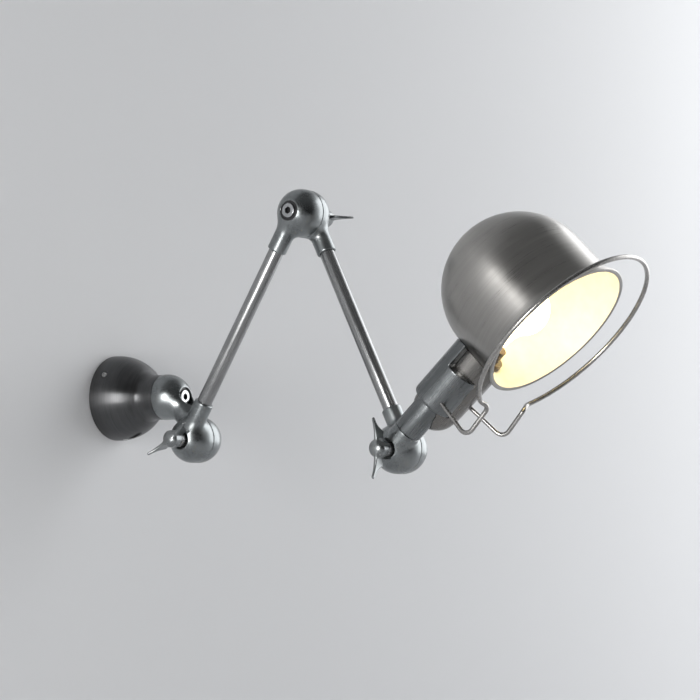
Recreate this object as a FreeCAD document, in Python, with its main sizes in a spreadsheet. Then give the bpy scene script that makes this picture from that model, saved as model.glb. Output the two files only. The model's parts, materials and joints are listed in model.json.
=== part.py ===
import FreeCAD, Part
import math
import os

import Sketcher

# Articulating wall lamp with ball-shaped clamp joints. Millimetres, +Z up, +X straight out of the wall.
# The origin is on the wall, behind the middle of the wall cup.

Vector = FreeCAD.Vector
Rotation = FreeCAD.Rotation
Placement = FreeCAD.Placement
AXIS_X = Vector(1, 0, 0)
AXIS_Y = Vector(0, 1, 0)
AXIS_Z = Vector(0, 0, 1)
ORIGIN = Vector(0, 0, 0)

doc = FreeCAD.newDocument("wall_lamp")
sheet = doc.addObject("Spreadsheet::Sheet", "sizes")

# Driving dimensions, in groups. Angles are in degrees.
dimensions = {
    # pose of the lamp
    "base_reach": 48.0,
    "base_drop": 41.5,
    "arm_length": 239.0,
    "arm_one_lean": 30.8,
    "arm_two_lean": 26.0,
    "head_lean": 46.0,
    # ball joints
    "ball_radius": 22.0,
    "skirt_length": 3.5,
    "socket_offset": 13.0,
    "socket_radius": 9.0,
    "socket_reach": 40.0,
    "socket_blend": 4.0,
    "tube_stop": 19.0,
    "wire_way_radius": 4.0,
    "wire_hole_radius": 2.5,
    "cavity_radius": 16.7,
    "disc_recess": 1.0,
    "disc_radius": 16.5,
    "disc_thickness": 1.9,
    "counterbore_radius": 9.2,
    "counterbore_floor": 14.5,
    "bolt_radius": 4.0,
    "bolt_hole_radius": 4.05,
    "neck_radius": 12.4,
    "neck_blend": 5.0,
    # clamp hardware
    "bolt_head_radius": 6.5,
    "bolt_head_height": 7.4,
    "bolt_head_chamfer": 0.6,
    "hex_key_radius": 3.46,
    "hex_key_depth": 4.0,
    "bolt_length": 54.8,
    "collar_radius": 9.15,
    "collar_bore_radius": 6.6,
    "collar_floor": 2.3,
    "collar_end": 23.2,
    "disc_window_turn": 150.0,
    "bush_radius": 7.5,
    "bush_length": 14.4,
    "wing_start": 29.2,
    "wing_hub_radius": 8.0,
    "wing_hub_edge": 7.3,
    "wing_hub_lip": 29.9,
    "wing_hub_height": 38.0,
    "wing_hub_top": 41.95,
    "wing_hub_flat": 1.0,
    "wing_root_reach": 4.6,
    "wing_hub_crown": 10.0,
    "wing_bore_end": 38.9,
    "wing_thickness": 3.4,
    "wing_root_low": 30.5,
    "wing_belly_low": 28.4,
    "wing_belly_reach": 15.5,
    "wing_tip_low": 42.0,
    "wing_tip_reach": 26.0,
    "wing_tip_high": 45.0,
    "wing_tip_inner": 24.2,
    "wing_shoulder_high": 40.4,
    "wing_shoulder_reach": 8.2,
    "wing_inner_curve": 19.0,
    "wing_tip_curve": 1.9,
    "wing_outer_curve": 40.0,
    "nut_corner_radius": 7.5,
    "nut_height": 6.5,
    # arm tubes
    "tube_radius": 7.0,
    "tube_bore_radius": 6.0,
    "tube_fit_radius": 7.03,
    # wall cup and what it covers
    "cup_rim_radius": 41.5,
    "cup_inner_radius": 40.3,
    "cup_rim_start": 1.0,
    "cup_rim_end": 7.0,
    "cup_waist": 43.5,
    "cup_waist_radius": 23.8,
    "cup_waist_inner": 22.7,
    "cup_waist_back": 43.0,
    "cup_neck_start": 53.0,
    "cup_neck_radius": 21.7,
    "cup_neck_inner": 20.5,
    "cup_neck_end": 61.8,
    "cup_belly_curve": 52.0,
    "cup_belly_inner_curve": 50.8,
    "cup_waist_curve": 18.0,
    "cup_waist_inner_curve": 19.2,
    "seam_reach": 62.0,
    "seat_radius": 20.4,
    "seat_length": 16.0,
    "seat_back_recess": 2.0,
    "plate_radius": 39.8,
    "plate_thickness": 2.5,
    "lug_inner": 32.4,
    "lug_outer": 34.4,
    "lug_half_width": 6.0,
    "lug_length": 20.0,
    "slot_spacing": 50.0,
    "slot_radius": 2.6,
    "slot_travel": 6.0,
    "cable_hole_radius": 9.0,
    "cup_screw_reach": 13.6,
    "cup_screw_radius": 2.0,
    "cup_screw_head_radius": 3.0,
    "cup_screw_head_height": 2.2,
    "cup_screw_length": 9.0,
    "cup_screw_seat": 39.3,
    "cup_screw_play": 0.2,
    "cord_slot_middle": 25.0,
    "cord_slot_travel": 5.5,
    "cord_slot_radius": 4.2,
    "grommet_radius": 5.0,
    "grommet_start": 8.0,
    "grommet_inner_radius": 37.6,
    "grommet_inner_end": 22.0,
    "grommet_inner_curve": 54.0,
    "grommet_bore_radius": 2.4,
    "terminal_length": 30.0,
    "terminal_depth": 14.0,
    "terminal_height": 12.0,
    "terminal_low": 12.0,
    "terminal_screw_low": 3.4,
    "terminal_screw_high": 8.6,
    "terminal_screw_seat": 8.4,
    "terminal_screw_length": 4.2,
    "terminal_pitch": 9.5,
    "terminal_hole_radius": 2.0,
    "clamp_screw_radius": 1.8,
    "clamp_screw_hole_radius": 1.85,
    # head stem and bracket
    "stem_radius": 12.7,
    "stem_seam": 22.3,
    "sleeve_start": 22.6,
    "sleeve_bore_radius": 5.05,
    "sleeve_chamber_start": 38.0,
    "sleeve_chamber_radius": 9.6,
    "sleeve_end": 56.5,
    "pivot_radius": 5.0,
    "pivot_bore_radius": 3.2,
    "pivot_start": 9.0,
    "pivot_end": 50.0,
    "pivot_washer_radius": 8.6,
    "pivot_washer_thickness": 1.5,
    "pivot_nut_radius": 8.1,
    "bracket_radius": 19.5,
    "bracket_floor_top": 62.0,
    "bracket_step": 96.0,
    "bracket_rounding": 3.0,
    "tongue_edge": 3.0,
    "tongue_blend": 3.0,
    "groove_across": -13.4,
    "groove_side": -31.5,
    "groove_start": 99.0,
    "groove_width": 0.9,
    "groove_depth": 3.0,
    "bracket_spigot_radius": 9.5,
    "bracket_spigot_start": 52.0,
    # lampholder can
    "can_low": 52.0,
    "can_low_radius": 21.6,
    "can_top": 122.0,
    "can_top_radius": 23.2,
    "can_dome_radius": 20.8,
    "can_wall": 1.0,
    "saddle_gap": 0.1,
    "notch_gap": 0.45,
    # lampholder
    "holder_start": 62.0,
    "holder_radius": 13.2,
    "holder_flange_start": 105.0,
    "holder_flange_radius": 17.5,
    "holder_flange_end": 109.2,
    "holder_skirt_radius": 14.2,
    "holder_skirt_end": 128.0,
    "holder_well_start": 94.0,
    "holder_well_radius": 8.4,
    "rib_count": 3.0,
    "rib_start": 118.1,
    "rib_pitch": 3.0,
    "rib_depth": 0.7,
    "holder_ring_start": 111.8,
    "holder_ring_end": 117.6,
    "holder_ring_radius": 18.6,
    "holder_ring_gap": 0.05,
    "holder_screw_radius": 1.5,
    "holder_screw_hole_radius": 1.55,
    "holder_screw_side": 9.0,
    "holder_screw_across": -4.0,
    "holder_screw_start": 57.0,
    "holder_screw_length": 9.0,
    "holder_shell_start": 101.0,
    "holder_shell_length": 20.0,
    "contact_radius": 3.0,
    "contact_top": 95.0,
    "contact_pin_radius": 1.6,
    "contact_pin_start": 95.6,
    # shade
    "shade_axis_height": 176.9,
    "shade_mouth": 36.6,
    "shade_radius": 65.6,
    "shade_inner_radius": 64.6,
    "shade_skirt": 51.0,
    "shade_flare_start": 9.0,
    "shade_flare_radius": 67.0,
    "shade_flare_inner": 66.0,
    "bead_radius": 1.2,
    "bead_middle_radius": 68.6,
    "bead_lip": 0.4,
    "shade_hole_start": 102.0,
    "shade_hole_radius": 14.6,
    "cope_gap": 0.5,
    # guard wire
    "wire_radius": 2.0,
    "ring_radius": 88.0,
    "ring_height": 178.4,
    "ring_plane": 44.0,
    "leg_spread": 32.0,
    "knee_height": 67.0,
    "knee_reach": 52.5,
    "knee_curve": 7.5,
    "ring_end_side": 47.0,
    "shoulder_side": 40.5,
    "shoulder_curve": 8.0,
    "ankle_side": 31.0,
    "ankle_reach": 49.0,
    "ankle_height": 99.0,
    "ankle_curve": 5.5,
    "toe_fit_radius": 2.03,
    "near_toe_side": 25.6,
    "near_toe_reach": 10.0,
    "far_toe_side": 17.0,
    "far_toe_reach": 5.0,
    # bulb
    "cap_start": 97.0,
    "cap_radius": 7.0,
    "cap_tip_radius": 2.4,
    "cap_insulator_radius": 5.0,
    "cap_shell_start": 100.0,
    "cap_end": 121.0,
    "globe_radius": 22.5,
    "globe_height": 168.0,
    "glass_foot_inner": 6.2,
    "glass_foot_radius": 7.0,
    "glass_waist_radius": 7.8,
    "glass_waist_height": 129.0,
    "glass_neck_radius": 9.5,
    "glass_neck_height": 133.0,
    "glass_join_height": 149.5,
    "glass_wall": 0.8,
    "filament_radius": 1.0,
    "filament_foot_circle": 2.4,
    "filament_foot_height": 150.0,
    "filament_top_circle": 8.0,
    "filament_top_height": 180.0,
    "mount_radius": 4.0,
    "mount_length": 30.0,
    "cap_lip": 101.5,
    "cap_insulator_start": 97.8,
    "cap_contact_bore": 0.4,
    # oversize pieces that only cut others
    "cutter_reach": 60.0,
}
for row, (alias, value) in enumerate(dimensions.items(), start=1):
    sheet.set("A%d" % row, alias)
    sheet.set("B%d" % row, str(value))
    sheet.setAlias("B%d" % row, alias)
doc.recompute()

subparts = {}


def size(alias):
    return float(sheet.get(alias))


# Every finished piece gets its name and its place through this function.
def finish(label, piece, placement=None):
    if placement is not None:
        piece.Placement = placement
    piece.Label = label
    subparts[label] = piece
    return piece


# ---- primitives whose sizes follow the sheet ----


def bind(piece, **texts):
    for name, text in texts.items():
        piece.setExpression(name, text)


def cylinder(radius, height, base=ORIGIN, axis=AXIS_Z):
    piece = doc.addObject("Part::Cylinder", "cylinder")
    bind(piece, Radius=radius, Height=height)
    piece.Placement = Placement(base, Rotation(AXIS_Z, axis))
    return piece


def cone(low_radius, high_radius, height, base=ORIGIN, axis=AXIS_Z):
    piece = doc.addObject("Part::Cone", "cone")
    bind(piece, Radius1=low_radius, Radius2=high_radius, Height=height)
    piece.Placement = Placement(base, Rotation(AXIS_Z, axis))
    return piece


def dome(radius, base=ORIGIN, axis=AXIS_Z):
    piece = doc.addObject("Part::Sphere", "dome")
    bind(piece, Radius=radius)
    piece.Angle1 = 0
    piece.Placement = Placement(base, Rotation(AXIS_Z, axis))
    return piece


def block(length, width, height, corner):
    piece = doc.addObject("Part::Box", "block")
    bind(piece, Length=length, Width=width, Height=height)
    piece.Placement = Placement(corner, Rotation())
    return piece


def hexagon(radius, height, base=ORIGIN):
    piece = doc.addObject("Part::Prism", "hexagon")
    piece.Polygon = 6
    bind(piece, Circumradius=radius, Height=height)
    piece.Placement = Placement(base, Rotation())
    return piece


def fuse(*pieces):
    result = doc.addObject("Part::MultiFuse", "fuse")
    result.Shapes = list(pieces)
    result.Refine = True
    return result


def cut(base, *tools):
    for tool in tools:
        result = doc.addObject("Part::Cut", "cut")
        result.Base = base
        result.Tool = tool
        result.Refine = False
        base = result
    return base


def common(first, second):
    result = doc.addObject("Part::MultiCommon", "common")
    result.Shapes = [first, second]
    return result


def group(pieces):
    result = doc.addObject("Part::Compound", "group")
    result.Links = pieces
    return result


# Rounds every edge that the test picks out.
def fillet(base, radius, test):
    doc.recompute()
    picked = [n for n, edge in enumerate(base.Shape.Edges, start=1) if test(edge)]
    if not picked:
        raise RuntimeError("no edge to round on " + base.Name)
    result = doc.addObject("Part::Fillet", "fillet")
    result.Base = base
    result.Edges = [(n, radius, radius) for n in picked]
    return result


# ---- bodies made from sketches ----


def plane_of(body, role):
    return next(feature for feature in body.Origin.OriginFeatures if feature.Role == role)


def new_body(label):
    return doc.addObject("PartDesign::Body", label)


def new_sketch(body, role="XZ_Plane"):
    sketch = body.newObject("Sketcher::SketchObject", body.Name + "_outline")
    sketch.AttachmentSupport = [(plane_of(body, role), "")]
    sketch.MapMode = "FlatFace"
    return sketch


# A term is a plain number, or the names of dimensions that are added up.
def term_value(term):
    if isinstance(term, str):
        return sum(size(name) for name in term.split(" + "))
    return float(term)


def hold(sketch, constraint, term):
    index = sketch.addConstraint(constraint)
    if isinstance(term, str):
        text = " + ".join("sizes." + name for name in term.split(" + "))
        sketch.setExpression("Constraints[%d]" % index, text)


# Draws a closed outline. Each corner is (across, up), and a third and fourth entry make the stretch
# that ends there an arc: its radius, and +1 when its centre is on the left of the way round.
def outline(sketch, corners):
    points = [Vector(term_value(c[0]), term_value(c[1]), 0) for c in corners]
    ends = []
    for n, corner in enumerate(corners):
        start = points[n - 1]
        end = points[n]
        if len(corner) == 2:
            index = sketch.addGeometry(Part.LineSegment(start, end))
            ends.append((index, 1, 2))
            continue
        radius = term_value(corner[2])
        side = corner[3]
        chord = end - start
        rise = math.sqrt(max(radius ** 2 - (chord.Length / 2) ** 2, 0.0))
        across = Vector(-chord.y, chord.x, 0).normalize()
        centre = (start + end) * 0.5 + across * (side * rise)
        first, last = (start, end) if side > 0 else (end, start)
        angles = [math.atan2(p.y - centre.y, p.x - centre.x) for p in (first, last)]
        arc = Part.ArcOfCircle(Part.Circle(centre, AXIS_Z, radius), angles[0], angles[1])
        index = sketch.addGeometry(arc)
        ends.append((index, 1, 2) if side > 0 else (index, 2, 1))
    for n, corner in enumerate(corners):
        index, start, end = ends[n]
        following = ends[(n + 1) % len(ends)]
        sketch.addConstraint(Sketcher.Constraint("Coincident", index, end, following[0], following[1]))
        for kind, term in (("DistanceX", corner[0]), ("DistanceY", corner[1])):
            hold(sketch, Sketcher.Constraint(kind, -1, 1, index, end, term_value(term)), term)
        if len(corner) > 2:
            hold(sketch, Sketcher.Constraint("Radius", index, term_value(corner[2])), corner[2])


# A piece turned about its own Z axis, or about the axis its placement gives.
def turned_blank(label, corners, placement=Placement()):
    body = new_body(label)
    sketch = new_sketch(body)
    outline(sketch, corners)
    revolution = body.newObject("PartDesign::Revolution", "turn")
    revolution.Profile = sketch
    revolution.ReferenceAxis = (sketch, ["V_Axis"])
    revolution.Angle = 360
    body.Tip = revolution
    body.Placement = placement
    return body


def turned(label, corners, placement=Placement()):
    return finish(label, turned_blank(label, corners), placement)


# A straight round piece with a bore, such as a tube, a washer or a bush, along its own Z axis.
def ring(label, outer, bore, length, placement=None):
    body = new_body(label)
    sketch = new_sketch(body, "XY_Plane")
    for radius in (outer, bore):
        index = sketch.addGeometry(Part.Circle(ORIGIN, AXIS_Z, term_value(radius)))
        sketch.addConstraint(Sketcher.Constraint("Coincident", index, 3, -1, 1))
        hold(sketch, Sketcher.Constraint("Radius", index, term_value(radius)), radius)
    pad = body.newObject("PartDesign::Pad", "length")
    pad.Profile = sketch
    pad.setExpression("Length", length)
    body.Tip = pad
    return finish(label, body, placement)


# ---- where the joints are ----


def lean_direction(degrees):
    return Vector(math.sin(math.radians(degrees)), 0, math.cos(math.radians(degrees)))


arm_one_direction = lean_direction(size("arm_one_lean"))
arm_two_direction = lean_direction(180 - size("arm_two_lean"))
head_direction = lean_direction(size("head_lean"))

swivel_centre = Vector(size("seam_reach"), 0, 0)
base_centre = swivel_centre + Vector(size("base_reach"), -size("socket_offset"), -size("base_drop"))
elbow_centre = base_centre + arm_one_direction * size("arm_length")
wrist_centre = elbow_centre + arm_two_direction * size("arm_length")
for name, centre in (("base", base_centre), ("elbow", elbow_centre), ("wrist", wrist_centre)):
    print("joint centre", name, [round(v, 3) for v in centre])


# Each half of a joint has its own frame: Z from the seam to the pole, X along the socket.
def joint_frame(centre, pole, along):
    return Placement(centre, Rotation(along, pole.cross(along), pole, "ZXY"))


# The head has one frame for all its pieces: Z up the stem, X out of the shade's mouth, Y like the wall's.
head_frame = Placement(wrist_centre, Rotation(AXIS_Y, size("head_lean")))


def head_place(across=0.0, side=0.0, up=0.0, rotation=Rotation()):
    return head_frame * Placement(Vector(across, side, up), rotation)


# ---- one half of a ball joint, with the socket that carries its tube ----


def edge_middle(edge):
    return edge.valueAt((edge.FirstParameter + edge.LastParameter) / 2)


# The edge where the socket leaves the ball: it lies on both of them.
def socket_junction(edge):
    middle = edge_middle(edge)
    off_axis = math.hypot(middle.y, middle.z - size("socket_offset"))
    on_socket = abs(off_axis - size("socket_radius")) < 0.5
    return on_socket and middle.x > 0 and middle.Length < size("ball_radius") + size("skirt_length")


def ball_shell(socket_radius, socket_reach):
    skirt = cylinder("sizes.ball_radius", "sizes.skirt_length")
    crown = dome("sizes.ball_radius", Vector(0, 0, size("skirt_length")))
    start = Vector(0, 0, size("socket_offset"))
    socket = cylinder(socket_radius, socket_reach, start, AXIS_X)
    return fuse(skirt, crown, socket)


# The bolt hole, the counterbore in the pole, the disc recess and the hole for the wires.
def ball_cuts():
    floor = Vector(0, 0, size("counterbore_floor"))
    bore = cylinder("sizes.bolt_hole_radius", "sizes.ball_radius + sizes.skirt_length + 1")
    counterbore = cylinder("sizes.counterbore_radius", "sizes.ball_radius", floor)
    recess = cylinder("sizes.cavity_radius", "sizes.disc_recess")
    wires = cylinder("sizes.wire_hole_radius", "sizes.socket_offset", Vector(size("socket_offset"), 0, 0))
    return [bore, counterbore, recess, wires]


def arm_socket(label, centre, pole, along):
    shell = fillet(ball_shell("sizes.socket_radius", "sizes.socket_reach"), size("socket_blend"), socket_junction)
    axis = size("socket_offset")
    tube_bore = cylinder("sizes.tube_fit_radius", "sizes.socket_reach", Vector(size("tube_stop"), 0, axis), AXIS_X)
    wire_way = cylinder("sizes.wire_way_radius", "sizes.tube_stop", Vector(axis, 0, axis), AXIS_X)
    casting = cut(shell, tube_bore, wire_way, *ball_cuts())
    finish(label, casting, joint_frame(centre, pole, along))


# ---- clamp hardware ----


def cap_screw(label, frame):
    underside = size("counterbore_floor") + size("collar_floor")
    head_end = underside + size("bolt_head_height")
    head = cylinder("sizes.bolt_head_radius", "sizes.bolt_head_height", Vector(0, 0, underside))
    crown = cone("sizes.bolt_head_radius", "sizes.bolt_head_radius - sizes.bolt_head_chamfer",
                 "sizes.bolt_head_chamfer", Vector(0, 0, head_end))
    shank = cylinder("sizes.bolt_radius", "sizes.bolt_length", Vector(0, 0, underside - size("bolt_length")))
    socket_start = head_end + size("bolt_head_chamfer") - size("hex_key_depth")
    key = hexagon("sizes.hex_key_radius", "sizes.hex_key_depth", Vector(0, 0, socket_start))
    finish(label, cut(fuse(head, crown, shank), key), frame)


# A black cup under the screw head, whose rim shows as a ring round it.
def screw_collar(label, frame):
    shelf = "counterbore_floor + collar_floor"
    turned(label, [
        ("bolt_hole_radius", "counterbore_floor"), ("collar_radius", "counterbore_floor"),
        ("collar_radius", "collar_end"), ("collar_bore_radius", "collar_end"), ("collar_bore_radius", shelf),
        ("bolt_hole_radius", shelf)], frame)


# A fibre disc between the two halves, with a curved window for the wires.
def friction_disc(label, frame):
    plate = cylinder("sizes.disc_radius", "sizes.disc_thickness", Vector(0, 0, -size("disc_thickness") / 2))
    low = Vector(0, 0, -size("disc_thickness"))
    hole = cylinder("sizes.bolt_hole_radius", "sizes.disc_thickness * 2", low)
    outer = cylinder("sizes.socket_offset + sizes.wire_hole_radius", "sizes.disc_thickness * 2", low)
    inner = cylinder("sizes.socket_offset - sizes.wire_hole_radius", "sizes.disc_thickness * 2", low)
    bind(outer, Angle="sizes.disc_window_turn")
    window = cut(outer, inner)
    finish(label, cut(plate, hole, window), frame)


def clamp_bush(label, frame):
    ring(label, "bush_radius", "bolt_hole_radius", "sizes.bush_length",
         frame * Placement(Vector(0, 0, size("counterbore_floor")), Rotation()))


def wing_nut(label, frame):
    body = new_body(label)
    hub_sketch = new_sketch(body, "YZ_Plane")
    outline(hub_sketch, [
        ("bolt_hole_radius", "wing_start"), ("wing_hub_edge", "wing_start"), ("wing_hub_radius", "wing_hub_lip"),
        ("wing_hub_radius", "wing_hub_height"), ("wing_hub_flat", "wing_hub_top", "wing_hub_crown", 1),
        (0, "wing_hub_top"), (0, "wing_bore_end"),
        ("bolt_hole_radius", "wing_bore_end")])
    hub = body.newObject("PartDesign::Revolution", "hub")
    hub.Profile = hub_sketch
    hub.ReferenceAxis = (hub_sketch, ["V_Axis"])
    wing_sketch = new_sketch(body)
    outline(wing_sketch, [
        ("wing_root_reach", "wing_root_low"), ("wing_belly_reach", "wing_belly_low"),
        ("wing_tip_reach", "wing_tip_low", "wing_inner_curve", -1),
        ("wing_tip_inner", "wing_tip_high", "wing_tip_curve", 1),
        ("wing_shoulder_reach", "wing_shoulder_high", "wing_outer_curve", -1),
        ("wing_root_reach", "wing_shoulder_high")])
    wing = body.newObject("PartDesign::Pad", "wing")
    wing.Profile = wing_sketch
    wing.SideType = "Symmetric"
    wing.setExpression("Length", "sizes.wing_thickness")
    pair = body.newObject("PartDesign::PolarPattern", "pair")
    pair.Originals = [wing]
    pair.Axis = (hub_sketch, ["V_Axis"])
    pair.Angle = 360
    pair.Occurrences = 2
    body.Tip = pair
    finish(label, body, frame)


# ---- wall plate, cup and connector ----

wall_turn = Rotation(AXIS_Y, 90)
screw_angles = [148.0, 268.0, 28.0]


def radial(degrees):
    return Vector(0, math.cos(math.radians(degrees)), math.sin(math.radians(degrees)))


def wall_plate():
    plate = cylinder("sizes.plate_radius", "sizes.plate_thickness", ORIGIN, AXIS_X)
    lugs = []
    holes = [cylinder("sizes.cable_hole_radius", "sizes.plate_thickness", ORIGIN, AXIS_X)]
    for degrees in screw_angles:
        lug = block("sizes.lug_length", "sizes.lug_half_width * 2", "sizes.lug_outer - sizes.lug_inner", ORIGIN)
        turn = Rotation(AXIS_X, degrees - 90)
        corner = Vector(0, -size("lug_half_width"), size("lug_inner"))
        lug.Placement = Placement(turn.multVec(corner), turn)
        lugs.append(lug)
        start = radial(degrees) * (size("lug_inner") - 1) + AXIS_X * size("cup_screw_reach")
        holes.append(cylinder("sizes.cup_screw_radius", "sizes.cup_screw_length", start, radial(degrees)))
    half_spacing = size("slot_spacing") / 2
    for side in (-1, 1):
        middle = Vector(0, side * half_spacing, 0)
        for end in (-1, 1):
            centre = middle + AXIS_Y * (end * size("slot_travel") / 2)
            holes.append(cylinder("sizes.slot_radius", "sizes.plate_thickness", centre, AXIS_X))
        corner = middle - Vector(0, size("slot_travel") / 2, size("slot_radius"))
        holes.append(block("sizes.plate_thickness", "sizes.slot_travel", "sizes.slot_radius * 2", corner))
    finish("wall_plate", cut(fuse(plate, *lugs), *holes))


# The outline of the spun cup, from the rim on the wall to the neck at the first joint.
cup_corners = [
    ("cup_inner_radius", "cup_rim_start"), ("cup_rim_radius", "cup_rim_start"), ("cup_rim_radius", "cup_rim_end"),
    ("cup_waist_radius", "cup_waist", "cup_belly_curve", 1),
    ("cup_neck_radius", "cup_neck_start", "cup_waist_curve", -1), ("cup_neck_radius", "cup_neck_end"),
    ("cup_neck_inner", "cup_neck_end"), ("cup_neck_inner", "cup_neck_start"),
    ("cup_waist_inner", "cup_waist_back", "cup_waist_inner_curve", 1),
    ("cup_inner_radius", "cup_rim_end", "cup_belly_inner_curve", -1)]


# An upright oblong prism through the underside of the cup.
def cord_slot(radius_name):
    half = size("cord_slot_travel") / 2
    radius = "sizes." + radius_name
    ends = [Vector(size("cord_slot_middle") + side * half, 0, -size("cutter_reach")) for side in (-1, 1)]
    rounds = [cylinder(radius, "sizes.cutter_reach", end) for end in ends]
    corner = ends[0] - Vector(0, size(radius_name), 0)
    straight = block("sizes.cord_slot_travel", radius + " * 2", "sizes.cutter_reach", corner)
    return fuse(straight, *rounds)


def wall_cup():
    spun = turned_blank("cup_blank", cup_corners, Placement(ORIGIN, wall_turn))
    holes = [cord_slot("cord_slot_radius")]
    for degrees in screw_angles:
        start = radial(degrees) * size("lug_outer") + AXIS_X * size("cup_screw_reach")
        holes.append(cylinder("sizes.cup_screw_radius + sizes.cup_screw_play", "sizes.cup_screw_length", start, radial(degrees)))
        seat = radial(degrees) * size("cup_screw_seat") + AXIS_X * size("cup_screw_reach")
        holes.append(cylinder("sizes.cup_screw_head_radius + sizes.cup_screw_play", "sizes.cup_screw_length",
                              seat, radial(degrees)))
    return finish("wall_cup", cut(spun, *holes))


# The grommet fills the slot, and its inner lip lies against the inside of the cup.
def cord_grommet(cup):
    turn = Placement(ORIGIN, wall_turn)
    cup_inside = turned_blank("grommet_outer", [
        (0, "cup_rim_end"), ("cup_rim_radius", "cup_rim_end"),
        ("cup_waist_radius", "cup_waist", "cup_belly_curve", 1), (0, "cup_waist")], turn)
    inner_limit = turned_blank("grommet_limit", [
        (0, "grommet_start"), ("grommet_inner_radius", "grommet_start"),
        ("grommet_inner_end", "cup_waist", "grommet_inner_curve", 1), (0, "cup_waist")], turn)
    plug = common(cup_inside, cord_slot("grommet_radius"))
    finish("cord_grommet", cut(plug, inner_limit, cord_slot("grommet_bore_radius"), cup))


def cup_screws():
    pieces = []
    for degrees in screw_angles:
        out = radial(degrees)
        seat = out * size("cup_screw_seat") + AXIS_X * size("cup_screw_reach")
        start = seat - out * size("cup_screw_length")
        shank = cylinder("sizes.cup_screw_radius", "sizes.cup_screw_length", start, out)
        head = cone("sizes.cup_screw_head_radius", "sizes.cup_screw_head_radius * 0.7",
                    "sizes.cup_screw_head_height", seat, out)
        drive = cylinder("sizes.cup_screw_radius * 0.6", "sizes.cup_screw_head_height",
                         seat + out * (size("cup_screw_head_height") * 0.45), out)
        pieces.append(cut(fuse(shank, head), drive))
    finish("cup_screws", group(pieces))


def terminal_block():
    low = Vector(size("plate_thickness"), -size("terminal_length") / 2, size("terminal_low"))
    case = block("sizes.terminal_depth", "sizes.terminal_length", "sizes.terminal_height", low)
    holes = []
    screws = []
    for place in (-1, 0, 1):
        side = place * size("terminal_pitch")
        middle = low + Vector(size("terminal_depth") / 2, size("terminal_length") / 2 + side, 0)
        holes.append(cylinder("sizes.terminal_hole_radius", "sizes.terminal_height", middle))
        for height in (size("terminal_screw_low"), size("terminal_screw_high")):
            start = low + Vector(size("terminal_screw_seat"), size("terminal_length") / 2 + side, height)
            holes.append(cylinder("sizes.clamp_screw_hole_radius", "sizes.terminal_depth", start, AXIS_X))
            screws.append(cylinder("sizes.clamp_screw_radius", "sizes.terminal_screw_length", start, AXIS_X))
    finish("terminal_block", cut(case, *holes))
    finish("terminal_clamp_screws", group(screws))


# The fixed half of the first joint, a plug in the neck of the cup.
def neck_seat(frame):
    plug = cylinder("sizes.seat_radius", "sizes.seat_length")
    bore = cylinder("sizes.bolt_hole_radius", "sizes.seat_length")
    recess = cylinder("sizes.cavity_radius", "sizes.disc_recess")
    back = cylinder("sizes.cavity_radius", "sizes.seat_back_recess",
                    Vector(0, 0, size("seat_length") - size("seat_back_recess")))
    wires = cylinder("sizes.wire_hole_radius", "sizes.seat_length", Vector(size("socket_offset"), 0, 0))
    finish("neck_seat", cut(plug, bore, recess, back, wires), frame)


def swivel_nut(frame):
    start = Vector(0, 0, size("seat_length") - size("seat_back_recess"))
    nut = hexagon("sizes.nut_corner_radius", "sizes.nut_height", start)
    bore = cylinder("sizes.bolt_radius", "sizes.nut_height", start)
    finish("swivel_nut", cut(nut, bore), frame)


# ---- the double casting that joins the first two joints ----


def base_knuckle(swivel_frame, base_frame):
    halves = []
    cuts = []
    for frame in (swivel_frame, base_frame):
        skirt = cylinder("sizes.ball_radius", "sizes.skirt_length")
        crown = dome("sizes.ball_radius", Vector(0, 0, size("skirt_length")))
        pieces = [skirt, crown]
        holes = ball_cuts()
        for piece in pieces + holes:
            piece.Placement = frame * piece.Placement
        halves += pieces
        cuts += holes
    start = swivel_centre + AXIS_X * size("socket_offset")
    end = Vector(base_centre.x, 0, base_centre.z)
    neck = cylinder("sizes.neck_radius", "%f" % (end - start).Length, start, end - start)

    def neck_junction(edge):
        middle = edge_middle(edge)
        distance = (middle - start).dot((end - start).normalize())
        off_axis = middle.distanceToLine(start, end - start)
        on_neck = abs(off_axis - size("neck_radius")) < 0.05 and 0 < distance < (end - start).Length
        return on_neck and not isinstance(edge.Curve, Part.Line)

    shell = fillet(fuse(neck, *halves), size("neck_blend"), neck_junction)
    finish("base_knuckle", cut(shell, *cuts))


# ---- head ----


def head_knuckle(frame):
    shell = ball_shell("sizes.stem_radius", "sizes.stem_seam")
    axis = size("socket_offset")
    thread = cylinder("sizes.pivot_radius", "sizes.stem_seam", Vector(size("pivot_start"), 0, axis), AXIS_X)
    finish("head_knuckle", cut(shell, thread, *ball_cuts()), frame)


# The stem stands off to one side of the seam. These pieces share its axis.
def stem_place(up=0.0):
    return head_place(0, -size("socket_offset"), up)


def head_swivel():
    ring("pivot_nipple", "pivot_radius", "pivot_bore_radius", "sizes.pivot_end - sizes.pivot_start",
         stem_place(size("pivot_start")))
    ring("pivot_washer", "pivot_washer_radius", "sleeve_bore_radius", "sizes.pivot_washer_thickness",
         stem_place(size("sleeve_chamber_start")))
    nut = hexagon("sizes.pivot_nut_radius", "sizes.nut_height")
    bore = cylinder("sizes.pivot_radius", "sizes.nut_height")
    finish("pivot_nut", cut(nut, bore), stem_place(size("sleeve_chamber_start") + size("pivot_washer_thickness")))
    turned("head_sleeve", [
        ("sleeve_bore_radius", "sleeve_start"), ("stem_radius", "sleeve_start"), ("stem_radius", "sleeve_end"),
        ("sleeve_chamber_radius", "sleeve_end"), ("sleeve_chamber_radius", "sleeve_chamber_start"),
        ("sleeve_bore_radius", "sleeve_chamber_start")], stem_place())


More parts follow.
